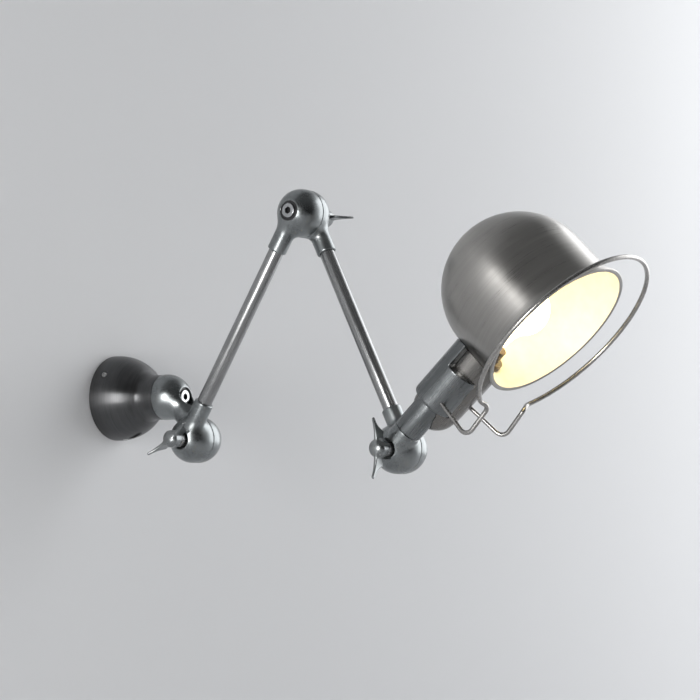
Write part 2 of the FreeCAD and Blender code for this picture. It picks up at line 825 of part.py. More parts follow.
# The room a shade of the given radius takes, in the head's frame: what meets the shade is coped to it.
def shade_body(radius):
    start = Vector(size("shade_mouth"), 0, size("shade_axis_height"))
    side = cylinder(radius, "sizes.shade_skirt", start, -AXIS_X)
    back = dome(radius, start - AXIS_X * size("shade_skirt"), -AXIS_X)
    return fuse(side, back)


# The tapered wall of the can as a solid, with its radius grown by a term.
def can_blank(grow):
    return cone("sizes.can_low_radius + %s" % grow, "sizes.can_top_radius + %s" % grow,
                "sizes.can_top - sizes.can_low", Vector(0, 0, size("can_low")))


def toe_line(side):
    near = side < 0
    toe_side = size("near_toe_side") if near else size("far_toe_side")
    toe_reach = size("near_toe_reach") if near else size("far_toe_reach")
    toe = Vector(toe_reach, side * toe_side, size("knee_height"))
    knee = Vector(size("knee_reach"), side * size("leg_spread"), size("knee_height"))
    return toe, knee


def toe_hole(side):
    toe, knee = toe_line(side)
    return cylinder("sizes.toe_fit_radius", "sizes.cutter_reach / 2", toe, knee - toe)


# The two screws that hold the lampholder down on the bracket, or the holes for them.
def holder_screw_places(radius):
    across = size("holder_screw_across")
    start = size("holder_screw_start")
    return [cylinder(radius, "sizes.holder_screw_length", Vector(side * size("holder_screw_side"), across, start))
            for side in (-1, 1)]


def head_bracket():
    axis = Vector(0, -size("socket_offset"), 0)
    blank = cylinder("sizes.bracket_radius", "sizes.can_top - sizes.sleeve_end", axis + AXIS_Z * size("sleeve_end"))
    doc.recompute()

    def lower_rim(edge):
        return abs(edge.BoundBox.ZMax - size("sleeve_end")) < 0.01

    rounded = fillet(blank, size("bracket_rounding"), lower_rim)
    reach = size("cutter_reach")
    hollow_room = block("sizes.cutter_reach * 2", "sizes.cutter_reach * 2", "sizes.cutter_reach",
                        Vector(-reach, -reach, size("bracket_floor_top")))
    hollow = common(can_blank("sizes.saddle_gap"), hollow_room)
    step_corner = Vector(-size("tongue_edge"), -reach, size("bracket_step"))
    step = block("sizes.cutter_reach", "sizes.cutter_reach * 2", "sizes.cutter_reach", step_corner)

    def tongue_foot(edge):
        middle = edge.CenterOfMass
        return abs(middle.x - step_corner.x) < 0.01 and abs(middle.z - step_corner.z) < 0.01

    rounded_step = fillet(step, size("tongue_blend"), tongue_foot)
    groove = block("sizes.groove_width", "sizes.groove_depth", "sizes.cutter_reach",
                   Vector(size("groove_across"), size("groove_side"), size("groove_start")))
    spigot = cylinder("sizes.bracket_spigot_radius", "sizes.bracket_floor_top - sizes.bracket_spigot_start",
                      axis + AXIS_Z * size("bracket_spigot_start"))
    wires = cylinder("sizes.pivot_radius", "sizes.cutter_reach", axis)
    wires.Placement.Base = axis + AXIS_Z * (size("bracket_floor_top") - reach / 2)
    tools = [hollow, rounded_step, groove, shade_body("sizes.shade_radius + sizes.cope_gap"), wires,
             toe_hole(-1), *holder_screw_places("sizes.holder_screw_radius")]
    finish("head_bracket", cut(fuse(rounded, spigot), *tools), head_frame)


def lampholder_can():
    low = Vector(0, 0, size("can_low"))
    bottom = dome("sizes.can_dome_radius", low, -AXIS_Z)
    inner_bottom = dome("sizes.can_dome_radius - sizes.can_wall", low, -AXIS_Z)
    axis = Vector(0, -size("socket_offset"), 0)
    stem_notch = cylinder("sizes.stem_radius + sizes.notch_gap", "sizes.sleeve_end", axis)
    floor_notch = cylinder("sizes.bracket_radius + sizes.saddle_gap",
                           "sizes.bracket_floor_top - sizes.sleeve_end + 2 * sizes.saddle_gap",
                           axis + AXIS_Z * (size("sleeve_end") - size("saddle_gap")))
    shell = cut(fuse(can_blank("0"), bottom), can_blank("-sizes.can_wall"), inner_bottom, stem_notch,
                floor_notch, shade_body("sizes.shade_radius + sizes.cope_gap"), toe_hole(1))
    finish("lampholder_can", shell, head_frame)


# The ribbed skirt of the lampholder: each rib is followed by a groove of the same width.
def holder_rib_corners():
    corners = []
    groove = size("holder_skirt_radius") - size("rib_depth")
    for n in range(int(size("rib_count"))):
        low = size("rib_start") + n * size("rib_pitch")
        middle = low + size("rib_pitch") / 2
        high = low + size("rib_pitch")
        corners += [("holder_skirt_radius", middle), (groove, middle), (groove, high), ("holder_skirt_radius", high)]
    return corners


def lampholder():
    moulding = turned_blank("holder_blank", [
        (0, "holder_start"), ("holder_radius", "holder_start"), ("holder_radius", "holder_flange_start"),
        ("holder_flange_radius", "holder_flange_start"), ("holder_flange_radius", "holder_flange_end"),
        ("holder_skirt_radius", "holder_flange_end"), *holder_rib_corners(),
        ("holder_skirt_radius", "holder_skirt_end"), ("holder_well_radius", "holder_skirt_end"),
        ("holder_well_radius", "holder_well_start"), (0, "holder_well_start")])
    holes = holder_screw_places("sizes.holder_screw_hole_radius")
    finish("lampholder_body", cut(moulding, *holes), head_frame)
    finish("lampholder_screws", group(holder_screw_places("sizes.holder_screw_radius")), head_frame)
    ring("lampholder_shell", "holder_well_radius", "cap_radius", "sizes.holder_shell_length",
         head_place(0, 0, size("holder_shell_start")))
    turned("lampholder_contact", [
        (0, "holder_well_start"), ("contact_radius", "holder_well_start"), ("contact_radius", "contact_top"),
        ("contact_pin_radius", "contact_pin_start"), ("contact_pin_radius", "cap_start"),
        (0, "cap_start")], head_frame)

    # The ring nut is coped to the inside of the shade, which it clamps against the flange.
    ring_start = Vector(0, 0, size("holder_ring_start"))
    height = "sizes.holder_ring_end - sizes.holder_ring_start"
    nut = cut(cylinder("sizes.holder_ring_radius", height, ring_start),
              cylinder("sizes.holder_skirt_radius", height, ring_start))
    coped = common(nut, shade_body("sizes.shade_inner_radius - sizes.holder_ring_gap"))
    finish("shade_ring", coped, head_frame)


def shade():
    bead_top = "bead_radius + bead_radius"
    place = Placement(Vector(size("shade_mouth"), 0, size("shade_axis_height")), Rotation(AXIS_Z, -AXIS_X))
    spun = turned_blank("shade_blank", [
        ("shade_flare_inner", "bead_lip"), ("bead_middle_radius", 0.0),
        ("bead_middle_radius + bead_radius", "bead_radius", "bead_radius", 1),
        ("bead_middle_radius", bead_top, "bead_radius", 1),
        ("shade_flare_radius", bead_top), ("shade_radius", "shade_flare_start"), ("shade_radius", "shade_skirt"),
        (0, "shade_skirt + shade_radius", "shade_radius", 1), (0, "shade_skirt + shade_inner_radius"),
        ("shade_inner_radius", "shade_skirt", "shade_inner_radius", -1),
        ("shade_inner_radius", "shade_flare_start")], place)
    hole = cylinder("sizes.shade_hole_radius", "sizes.cutter_reach / 2", Vector(0, 0, size("shade_hole_start")))
    finish("shade", cut(spun, hole), head_frame)


# The guard is one bent wire: a ring round the mouth, and two legs that turn back into the head.
def rounded_path(points, curves):
    edges = []
    last = points[0]
    for n in range(1, len(points) - 1):
        before = (points[n - 1] - points[n]).normalize()
        after = (points[n + 1] - points[n]).normalize()
        half = before.getAngle(after) / 2
        reach = curves[n - 1] / math.tan(half)
        entry = points[n] + before * reach
        leave = points[n] + after * reach
        middle = points[n] + (before + after).normalize() * (curves[n - 1] / math.sin(half) - curves[n - 1])
        edges.append(Part.LineSegment(last, entry).toShape())
        edges.append(Part.Arc(entry, middle, leave).toShape())
        last = leave
    edges.append(Part.LineSegment(last, points[-1]).toShape())
    return edges


def guard_wire():
    centre = Vector(size("ring_plane"), 0, size("ring_height"))
    radius = size("ring_radius")
    end_angle = math.asin(size("ring_end_side") / radius)
    run = (size("ring_end_side") - size("shoulder_side")) / math.cos(end_angle)
    curves = [size("shoulder_curve"), size("ankle_curve"), size("knee_curve")]

    def ring_point(angle):
        return centre + Vector(0, math.sin(angle), -math.cos(angle)) * radius

    path = []
    for side in (-1, 1):
        toe, knee = toe_line(side)
        ring_end = ring_point(side * end_angle)
        shoulder = ring_end + Vector(0, -side * math.cos(end_angle), -math.sin(end_angle)) * run
        ankle = Vector(size("ankle_reach"), side * size("ankle_side"), size("ankle_height"))
        path.append(rounded_path([ring_end, shoulder, ankle, knee, toe], curves))
    ring_arc = Part.Arc(ring_point(-end_angle), ring_point(math.pi), ring_point(end_angle)).toShape()
    wire = Part.Wire(Part.__sortEdges__([*path[0], ring_arc, *path[1]]))
    first = wire.OrderedEdges[0]
    start = wire.OrderedVertexes[0].Point
    direction = (first.valueAt(first.LastParameter) - first.valueAt(first.FirstParameter)).normalize()
    section = Part.Wire(Part.makeCircle(size("wire_radius"), start, direction))
    solid = wire.makePipeShell([section], True, False)
    print("guard wire: length %.1f, volume ratio %.4f" % (
        wire.Length, solid.Volume / (wire.Length * math.pi * size("wire_radius") ** 2)))
    feature = doc.addObject("Part::Feature", "guard_wire")
    feature.Shape = solid
    finish("guard_wire", feature, head_frame)


def bulb():
    turned("bulb_cap", [
        ("cap_insulator_radius", "cap_shell_start"), ("cap_radius", "cap_lip"), ("cap_radius", "cap_end"),
        (0, "cap_end"), (0, "cap_shell_start")], head_frame)
    turned("bulb_insulator", [
        (0, "cap_insulator_start"), ("cap_tip_radius", "cap_insulator_start"),
        ("cap_insulator_radius", "cap_shell_start"), (0, "cap_shell_start")], head_frame)
    ring("bulb_contact", "cap_tip_radius", "cap_contact_bore", "sizes.glass_wall",
         head_place(0, 0, size("cap_start")))
    globe = size("globe_radius")
    wall = size("glass_wall")
    inner_globe = globe - wall
    drop = size("globe_height") - size("glass_join_height")
    turned("bulb_glass", [
        ("glass_foot_inner", "cap_end"), ("glass_foot_radius", "cap_end"),
        ("glass_waist_radius", "glass_waist_height"), ("glass_neck_radius", "glass_neck_height"),
        (math.sqrt(globe ** 2 - drop ** 2), "glass_join_height"),
        ("globe_radius", "globe_height", "globe_radius", 1),
        (0, "globe_height + globe_radius", "globe_radius", 1),
        (0, size("globe_height") + inner_globe), (inner_globe, "globe_height", inner_globe, -1),
        (math.sqrt(inner_globe ** 2 - drop ** 2), "glass_join_height", inner_globe, -1),
        (size("glass_neck_radius") - wall, "glass_neck_height"),
        (size("glass_waist_radius") - wall, "glass_waist_height")], head_frame)
    rods = [cylinder("sizes.mount_radius", "sizes.mount_length", Vector(0, 0, size("cap_end")))]
    for degrees in (45, 135, 225, 315):
        out = Vector(math.cos(math.radians(degrees)), math.sin(math.radians(degrees)), 0)
        foot = out * size("filament_foot_circle") + AXIS_Z * size("filament_foot_height")
        top = out * size("filament_top_circle") + AXIS_Z * size("filament_top_height")
        rods.append(cylinder("sizes.filament_radius", "%f" % (top - foot).Length, foot, top - foot))
    finish("bulb_mount", fuse(*rods), head_frame)


# ---- the lamp, from the wall to the shade ----

swivel_frame = joint_frame(swivel_centre, AXIS_X, -AXIS_Z)
seat_frame = joint_frame(swivel_centre, -AXIS_X, -AXIS_Z)
base_out = joint_frame(base_centre, AXIS_Y, -AXIS_Z)
base_in = joint_frame(base_centre, -AXIS_Y, arm_one_direction)
wing_turns = {"base": 34.0, "elbow": 0.0, "wrist": 90.0}


# A wing nut's wings lie along its frame's X, which leans so far below level on the wall side.
def wing_frame(centre, pole, drop_degrees):
    angle = math.radians(drop_degrees)
    return joint_frame(centre, pole, Vector(-math.cos(angle), 0, -math.sin(angle)))


wall_plate()
cup = wall_cup()
cord_grommet(cup)
cup_screws()
terminal_block()
neck_seat(seat_frame)
cap_screw("swivel_bolt", swivel_frame)
screw_collar("swivel_collar", swivel_frame)
friction_disc("swivel_disc", swivel_frame)
swivel_nut(seat_frame)
base_knuckle(swivel_frame, base_out)

arm_socket("arm_1_lower_socket", base_centre, -AXIS_Y, arm_one_direction)
arm_socket("arm_1_upper_socket", elbow_centre, -AXIS_Y, -arm_one_direction)
arm_socket("arm_2_upper_socket", elbow_centre, AXIS_Y, arm_two_direction)
arm_socket("arm_2_lower_socket", wrist_centre, AXIS_Y, -arm_two_direction)
tube_length = "sizes.arm_length - 2 * sizes.tube_stop"
for label, centre, side, along in (
        ("arm_1_tube", base_centre, -1, arm_one_direction), ("arm_2_tube", elbow_centre, 1, arm_two_direction)):
    start = centre + AXIS_Y * (side * size("socket_offset")) + along * size("tube_stop")
    ring(label, "tube_radius", "tube_bore_radius", tube_length, Placement(start, Rotation(AXIS_Z, along)))

for joint, centre, nut_pole, disc_along in (
        ("base", base_centre, -AXIS_Y, AXIS_Z), ("elbow", elbow_centre, AXIS_Y, -AXIS_Z),
        ("wrist", wrist_centre, -AXIS_Y, head_direction)):
    head_side = joint_frame(centre, -nut_pole, disc_along)
    nut_side = wing_frame(centre, nut_pole, wing_turns[joint])
    cap_screw(joint + "_bolt", head_side)
    screw_collar(joint + "_collar", head_side)
    friction_disc(joint + "_disc", head_side)
    clamp_bush(joint + "_bush", nut_side)
    wing_nut(joint + "_wing_nut", nut_side)

head_knuckle(joint_frame(wrist_centre, -AXIS_Y, head_direction))
head_swivel()
head_bracket()
lampholder_can()
lampholder()
shade()
guard_wire()
bulb()

# ---- checks, then one file for each piece ----

doc.recompute()
for item in doc.Objects:
    if "Invalid" in item.State or "Error" in item.State:
        raise RuntimeError("failed feature: %s %s" % (item.Label, item.State))
for label, piece in subparts.items():
    if piece.Shape.isNull() or not piece.Shape.isValid() or piece.Shape.Volume <= 0:
        raise RuntimeError("bad shape: " + label)

os.makedirs("parts", exist_ok=True)
for label, piece in subparts.items():
    piece.Shape.exportStep("parts/%s.step" % label)
print("pieces written:", len(subparts))
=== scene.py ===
import json
import math

import bmesh
import bpy
import numpy as np
from mathutils import Matrix, Vector


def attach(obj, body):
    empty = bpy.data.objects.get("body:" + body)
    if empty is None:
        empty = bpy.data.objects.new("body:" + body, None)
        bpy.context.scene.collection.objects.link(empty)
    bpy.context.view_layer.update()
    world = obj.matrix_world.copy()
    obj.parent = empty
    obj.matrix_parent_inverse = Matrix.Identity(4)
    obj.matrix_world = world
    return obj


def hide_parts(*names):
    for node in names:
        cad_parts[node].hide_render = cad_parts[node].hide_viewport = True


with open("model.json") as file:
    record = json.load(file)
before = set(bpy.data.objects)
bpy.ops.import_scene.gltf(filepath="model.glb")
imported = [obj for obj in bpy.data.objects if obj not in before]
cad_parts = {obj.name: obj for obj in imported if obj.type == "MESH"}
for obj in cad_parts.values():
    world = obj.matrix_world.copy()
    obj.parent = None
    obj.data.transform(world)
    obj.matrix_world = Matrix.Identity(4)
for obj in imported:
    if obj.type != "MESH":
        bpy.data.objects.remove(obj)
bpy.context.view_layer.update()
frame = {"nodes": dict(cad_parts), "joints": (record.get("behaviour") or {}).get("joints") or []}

mm = 0.001
tiny = 1e-6
nodes = frame["nodes"]
hinges = {j["name"]: j for j in frame["joints"]}
print("frame loaded:", len(nodes), "nodes")


def placeFrame(centre, zAxis, xAxis):  # a right-handed frame with Z and X given
    z = Vector(zAxis).normalized()
    y = z.cross(Vector(xAxis)).normalized()
    x = y.cross(z)
    turn = Matrix((x, y, z)).transposed().to_4x4()
    return Matrix.Translation(Vector(centre)) @ turn


baseAt = Vector(hinges["base_hinge"]["pos_m"])
elbowAt = Vector(hinges["elbow_hinge"]["pos_m"])
wristAt = Vector(hinges["wrist_hinge"]["pos_m"])
swivelAt = Vector(hinges["base_swivel"]["pos_m"])
stemAxis = Vector(hinges["head_swivel"]["axis"]).normalized()
armOneAxis = (elbowAt - baseAt).normalized()
armTwoAxis = (wristAt - elbowAt).normalized()
mouthAxis = Vector((stemAxis.z, 0, -stemAxis.x))
headFrame = placeFrame(wristAt, stemAxis, mouthAxis)  # Z up the stem, X out of the shade's mouth

# The camera's focal length and frame width are in pixels, the sensor in millimetres, the rest in degrees and metres.
cameraSet = {"azimuth": 33.49, "elevation": -4.10, "roll": 0.32, "distance": 1.577,
             "target": (0.2756, 0.0, 0.0383), "focal": 1751.0, "frameWidth": 700.0,
             "sensor": 36.0, "near": 0.05, "far": 60.0}


def makeCamera(values):
    azimuth, elevation = math.radians(values["azimuth"]), math.radians(values["elevation"])
    level = math.cos(elevation)
    away = Vector((math.sin(azimuth) * level, -math.cos(azimuth) * level, math.sin(elevation)))
    data = bpy.data.cameras.new("camera")
    data.sensor_width = values["sensor"]
    data.lens = values["sensor"] * values["focal"] / values["frameWidth"]
    data.clip_start = values["near"]
    data.clip_end = values["far"]
    camera = bpy.data.objects.new("camera", data)
    bpy.context.scene.collection.objects.link(camera)
    roll = Matrix.Rotation(math.radians(values["roll"]), 3, "Z")
    turn = (-away).to_track_quat("-Z", "Y").to_matrix() @ roll
    stand = Vector(values["target"]) + away * values["distance"]
    camera.matrix_world = Matrix.Translation(stand) @ turn.to_4x4()
    bpy.context.scene.camera = camera


makeCamera(cameraSet)
print("camera placed")

patchDetail, grainDetail = 3.0, 2.0
noiseRange = (0.3, 0.7)  # where most values of a noise texture lie


def newMaterial(name):
    material = bpy.data.materials.new(name)
    material.use_nodes = True
    return material, material.node_tree


def addNode(tree, kind, inputs=None, **settings):
    node = tree.nodes.new(kind)
    for key, value in settings.items():
        setattr(node, key, value)
    for key, value in (inputs or {}).items():
        if isinstance(value, bpy.types.NodeSocket):
            tree.links.new(value, node.inputs[key])
        else:
            node.inputs[key].default_value = value
    return node


def mathNode(tree, operation, first, second):
    return addNode(tree, "ShaderNodeMath", {0: first, 1: second}, operation=operation).outputs[0]


def vectorNode(tree, operation, inputs, output=0):
    return addNode(tree, "ShaderNodeVectorMath", inputs, operation=operation).outputs[output]


def weighted(tree, pairs):  # the sum of some values, each times its weight
    total = None
    for value, weight in pairs:
        part = mathNode(tree, "MULTIPLY", value, weight)
        total = part if total is None else mathNode(tree, "ADD", total, part)
    return total


def rampNode(tree, value, low, high, outLow, outHigh):
    inputs = {"Value": value, "From Min": low, "From Max": high, "To Min": outLow, "To Max": outHigh}
    return addNode(tree, "ShaderNodeMapRange", inputs).outputs["Result"]


def spread(tree, value, outLow, outHigh):
    return rampNode(tree, value, *noiseRange, outLow, outHigh)


def mixColour(tree, factor, first, second):
    inputs = {0: factor, 6: first, 7: second}
    for key in (6, 7):
        if not isinstance(inputs[key], bpy.types.NodeSocket):
            inputs[key] = (*inputs[key], 1.0)
    return addNode(tree, "ShaderNodeMix", inputs, data_type="RGBA").outputs[2]


# The point in a piece's own frame. A node that is left in the row's frame gives its own place.
def localPoint(tree, place=None):
    point = addNode(tree, "ShaderNodeTexCoord").outputs["Object"]
    if place is None:
        return point
    inputs = {"Vector": point, "Location": place.to_translation(), "Rotation": place.to_euler()}
    return addNode(tree, "ShaderNodeMapping", inputs, vector_type="TEXTURE").outputs["Vector"]


def noise(tree, point, scale, detail=patchDetail, roughness=0.55, w=None):
    inputs = {"Vector": point, "Scale": scale, "Detail": detail, "Roughness": roughness}
    if w is None:
        return addNode(tree, "ShaderNodeTexNoise", inputs).outputs["Fac"]
    inputs["W"] = w
    return addNode(tree, "ShaderNodeTexNoise", inputs, noise_dimensions="4D").outputs["Fac"]


ringSet = {"turnScale": 1.1, "roughness": 0.6}


def ringLines(tree, point, fineness):  # noise that runs in rings round Z, as a spinning tool leaves it
    parts = addNode(tree, "ShaderNodeSeparateXYZ", {0: point}).outputs
    flat = addNode(tree, "ShaderNodeCombineXYZ", {0: parts[0], 1: parts[1]}).outputs[0]
    radius = vectorNode(tree, "LENGTH", {0: flat}, "Value")
    turn = addNode(tree, "ShaderNodeSeparateXYZ", {0: vectorNode(tree, "NORMALIZE", {0: flat})}).outputs
    coordinates = {
        0: mathNode(tree, "MULTIPLY", turn[0], ringSet["turnScale"]),
        1: mathNode(tree, "MULTIPLY", turn[1], ringSet["turnScale"]),
        2: mathNode(tree, "MULTIPLY", parts[2], fineness),
    }
    vector = addNode(tree, "ShaderNodeCombineXYZ", coordinates).outputs[0]
    depth = mathNode(tree, "MULTIPLY", radius, fineness)
    return noise(tree, vector, 1.0, grainDetail, ringSet["roughness"], depth)


def bumpNode(tree, height, distance, strength=1.0):
    inputs = {"Height": height, "Distance": distance, "Strength": strength}
    return addNode(tree, "ShaderNodeBump", inputs).outputs[0]


def finishSurface(tree, colour, roughness, bump, metallic):
    shader = tree.nodes["Principled BSDF"]
    shader.inputs["Metallic"].default_value = metallic
    tree.links.new(colour, shader.inputs["Base Color"])
    tree.links.new(roughness, shader.inputs["Roughness"])
    tree.links.new(bump, shader.inputs["Normal"])
    return shader


castLook = {"dark": (0.20, 0.214, 0.218), "light": (0.29, 0.306, 0.310), "edge": (0.50, 0.51, 0.51),
            "roughness": 0.29, "patch": 55.0, "patchDetail": 4.0, "patchRough": (-0.05, 0.06),
            "grain": 1500.0, "grainRough": (-0.03, 0.03), "grainDepth": 0.03 * mm,
            "edgeFrom": 0.53, "edgeTo": 0.62, "edgeShare": 0.8, "metallic": 1.0}


def castMetal(name, look):  # soft patches and a fine grain, with edges worn bright
    material, tree = newMaterial(name)
    point = localPoint(tree)
    cloud = noise(tree, point, look["patch"], look["patchDetail"])
    grain = noise(tree, point, look["grain"], grainDetail)
    base = mixColour(tree, spread(tree, cloud, 0, 1), look["dark"], look["light"])
    edges = addNode(tree, "ShaderNodeNewGeometry").outputs["Pointiness"]
    worn = rampNode(tree, edges, look["edgeFrom"], look["edgeTo"], 0, look["edgeShare"])
    colour = mixColour(tree, worn, base, look["edge"])
    rough = mathNode(tree, "ADD", spread(tree, cloud, *look["patchRough"]), look["roughness"])
    rough = mathNode(tree, "ADD", rough, spread(tree, grain, *look["grainRough"]))
    finishSurface(tree, colour, rough, bumpNode(tree, grain, look["grainDepth"]), look["metallic"])
    return material


tubeLook = {"dark": (0.25, 0.253, 0.256), "light": (0.36, 0.362, 0.364), "roughness": 0.25,
            "smoother": 0.05, "rougher": 0.07, "streak": 0.6, "streakScale": (1400.0, 1400.0, 18.0),
            "patchScale": (90.0, 90.0, 30.0), "mixRange": (0.35, 0.65), "lineDepth": 0.006 * mm,
            "metallic": 0.95}


def drawnMetal(name, look, place=None):  # fine lines along Z, as a drawn tube has
    material, tree = newMaterial(name)
    point = localPoint(tree, place)
    lines, cloud = (noise(tree, vectorNode(tree, "MULTIPLY", {0: point, 1: look[scale]}), 1.0)
                    for scale in ("streakScale", "patchScale"))
    mixed = weighted(tree, ((lines, look["streak"]), (cloud, 1.0 - look["streak"])))
    colour = mixColour(tree, rampNode(tree, mixed, *look["mixRange"], 0, 1), look["dark"], look["light"])
    rough = spread(tree, mixed, look["roughness"] - look["smoother"], look["roughness"] + look["rougher"])
    finishSurface(tree, colour, rough, bumpNode(tree, lines, look["lineDepth"]), look["metallic"])
    return material


# A highlight turn of a quarter makes the highlight run along the axis, across the rings.
spunLook = {"dark": (0.320, 0.311, 0.298), "light": (0.385, 0.375, 0.360), "roughness": 0.30,
            "smoother": 0.04, "rougher": 0.06, "roughRange": (0.35, 0.65), "fineness": 2200.0,
            "broadness": 14.0, "patch": 40.0, "shares": (0.5, 0.3, 0.2), "mixRange": (0.38, 0.62),
            "lineDepth": 0.004 * mm, "anisotropy": 0.75, "highlightTurn": 0.25, "metallic": 0.95}


def spunMetal(name, look):
    material, tree = newMaterial(name)
    point = localPoint(tree)
    lines = ringLines(tree, point, look["fineness"])
    broad = ringLines(tree, point, look["fineness"] / look["broadness"])
    cloud = noise(tree, point, look["patch"])
    mixed = weighted(tree, zip((lines, broad, cloud), look["shares"]))
    colour = mixColour(tree, rampNode(tree, mixed, *look["mixRange"], 0, 1), look["dark"], look["light"])
    rough = rampNode(tree, mixed, *look["roughRange"], look["roughness"] - look["smoother"],
                     look["roughness"] + look["rougher"])
    bump = bumpNode(tree, lines, look["lineDepth"])
    shader = finishSurface(tree, colour, rough, bump, look["metallic"])
    shader.inputs["Anisotropic"].default_value = look["anisotropy"]
    shader.inputs["Anisotropic Rotation"].default_value = look["highlightTurn"]
    tangent = addNode(tree, "ShaderNodeTangent", direction_type="RADIAL", axis="Z").outputs[0]
    tree.links.new(tangent, shader.inputs["Tangent"])
    return material


steelGrain = {"patch": 120.0, "grain": 900.0, "smoother": 0.03, "rougher": 0.05, "grainDepth": 0.01 * mm,
              "metallic": 1.0}
plasticGrain = {"patch": 90.0, "grain": 1200.0, "smoother": 0.05, "rougher": 0.06,
                "grainDepth": 0.02 * mm, "metallic": 0.0}
paintGrain = {**plasticGrain, "grain": 700.0}


def grainySurface(name, dark, light, roughness, look):  # soft patches of two colours under a fine grain
    material, tree = newMaterial(name)
    point = localPoint(tree)
    cloud = noise(tree, point, look["patch"])
    grain = noise(tree, point, look["grain"], grainDetail)
    colour = mixColour(tree, spread(tree, cloud, 0, 1), dark, light)
    rough = spread(tree, grain, roughness - look["smoother"], roughness + look["rougher"])
    finishSurface(tree, colour, rough, bumpNode(tree, grain, look["grainDepth"]), look["metallic"])
    return material


bulbLook = {"colour": (1.0, 0.82, 0.50), "strength": 9.0, "patch": 70.0, "patchDetail": 2.0, "lift": 1.04,
            "roughness": 0.25}


def opalGlass(name, look):
    material, tree = newMaterial(name)
    shader = tree.nodes["Principled BSDF"]
    cloud = noise(tree, localPoint(tree), look["patch"], look["patchDetail"])
    lifted = tuple(min(1.0, channel * look["lift"]) for channel in look["colour"])
    warm = mixColour(tree, spread(tree, cloud, 0, 1), look["colour"], lifted)
    tree.links.new(warm, shader.inputs["Base Color"])
    tree.links.new(warm, shader.inputs["Emission Color"])
    shader.inputs["Emission Strength"].default_value = look["strength"]
    shader.inputs["Roughness"].default_value = look["roughness"]
    return material


cupLook = {**spunLook, "dark": (0.085, 0.086, 0.088), "light": (0.12, 0.121, 0.124), "roughness": 0.33,
           "anisotropy": 0.8}
wingLook = {**castLook, "dark": (0.22, 0.232, 0.235), "light": (0.31, 0.322, 0.325)}
# The sleeve and bracket are the castings' blue-grey metal; their darker colours here are painted shade.
shadedSleeveLook = {**tubeLook, "dark": (0.14, 0.149, 0.153), "light": (0.21, 0.221, 0.226), "roughness": 0.26,
              "streak": 0.35}
# The can is the shade's warm-grey steel; its darker colours here are painted shade.
shadedCanLook = {**tubeLook, "dark": (0.18, 0.174, 0.165), "light": (0.24, 0.232, 0.222), "streak": 0.4}
bushLook = {**tubeLook, "roughness": 0.26}
grainyLooks = {
    "shadeInside": ("shadeInsidePaint", (0.78, 0.745, 0.62), (0.85, 0.81, 0.69), 0.42, paintGrain),
    "guard": ("guardMetal", (0.33, 0.322, 0.31), (0.44, 0.43, 0.415), 0.25, steelGrain),
    "bolt": ("boltMetal", (0.42, 0.43, 0.44), (0.55, 0.56, 0.57), 0.18, steelGrain),
    "plain": ("plainSteel", (0.42, 0.42, 0.42), (0.55, 0.55, 0.55), 0.32, steelGrain),
    "brass": ("contactBrass", (0.68, 0.50, 0.22), (0.80, 0.62, 0.30), 0.25, steelGrain),
    "capMetal": ("bulbCapMetal", (0.66, 0.66, 0.65), (0.78, 0.78, 0.77), 0.24, steelGrain),
    # near-black paint for the inside of the screw's key hole: painted shade in the recess
    "keyPaintedShade": ("screwKeyPaintedShade", (0.012, 0.012, 0.013), (0.03, 0.03, 0.032), 0.45, plasticGrain),
    "collar": ("collarPlastic", (0.008, 0.008, 0.009), (0.02, 0.02, 0.022), 0.38, plasticGrain),
    "holder": ("holderPlastic", (0.035, 0.018, 0.011), (0.06, 0.03, 0.017), 0.35, plasticGrain),
    "fibre": ("fibreDisc", (0.05, 0.035, 0.025), (0.10, 0.07, 0.05), 0.75, plasticGrain),
    "rubber": ("grommetRubber", (0.012, 0.012, 0.012), (0.03, 0.03, 0.03), 0.6, plasticGrain),
    "connector": ("connectorPlastic", (0.70, 0.69, 0.64), (0.80, 0.79, 0.74), 0.5, plasticGrain),
    "insulator": ("capInsulator", (0.01, 0.01, 0.01), (0.02, 0.02, 0.022), 0.2, plasticGrain),
}
finishes = {finish: grainySurface(*look) for finish, look in grainyLooks.items()}
finishes.update({
    "cast": castMetal("castMetal", castLook),
    "wing": castMetal("wingMetal", wingLook),
    "tube": drawnMetal("tubeMetal", tubeLook),
    "bush": drawnMetal("bushMetal", bushLook),
    "sleeve": drawnMetal("sleeveMetalShaded", shadedSleeveLook),
    "can": drawnMetal("canMetalShaded", shadedCanLook, headFrame),
    "cup": spunMetal("cupMetal", cupLook),
    "shade": spunMetal("shadeMetal", spunLook),
    "opal": opalGlass("bulbOpal", bulbLook),
})

nodeFinish = {
    "lampholder_can": "can", "guard_wire": "guard", "cord_grommet": "rubber", "terminal_block": "connector",
    "terminal_clamp_screws": "brass", "wall_plate": "plain", "cup_screws": "plain", "swivel_nut": "plain",
    "pivot_nut": "plain", "pivot_washer": "plain", "pivot_nipple": "plain", "lampholder_screws": "plain",
    "lampholder_shell": "brass", "lampholder_contact": "brass", "shade_ring": "holder",
    "bulb_cap": "capMetal", "bulb_insulator": "insulator", "bulb_contact": "brass", "bulb_mount": "opal",
}
for name, node in nodes.items():
    finish = nodeFinish.get(name, "fibre" if name.endswith("_disc") else "cast")
    node.data.materials.clear()
    node.data.materials.append(finishes[finish])
print("finishes given to the frame's nodes")

# The mesh helpers work in millimetres in a piece's own frame.
turnedSharp, fieldSharp = 32.0, 60.0  # edges steeper than this stay sharp


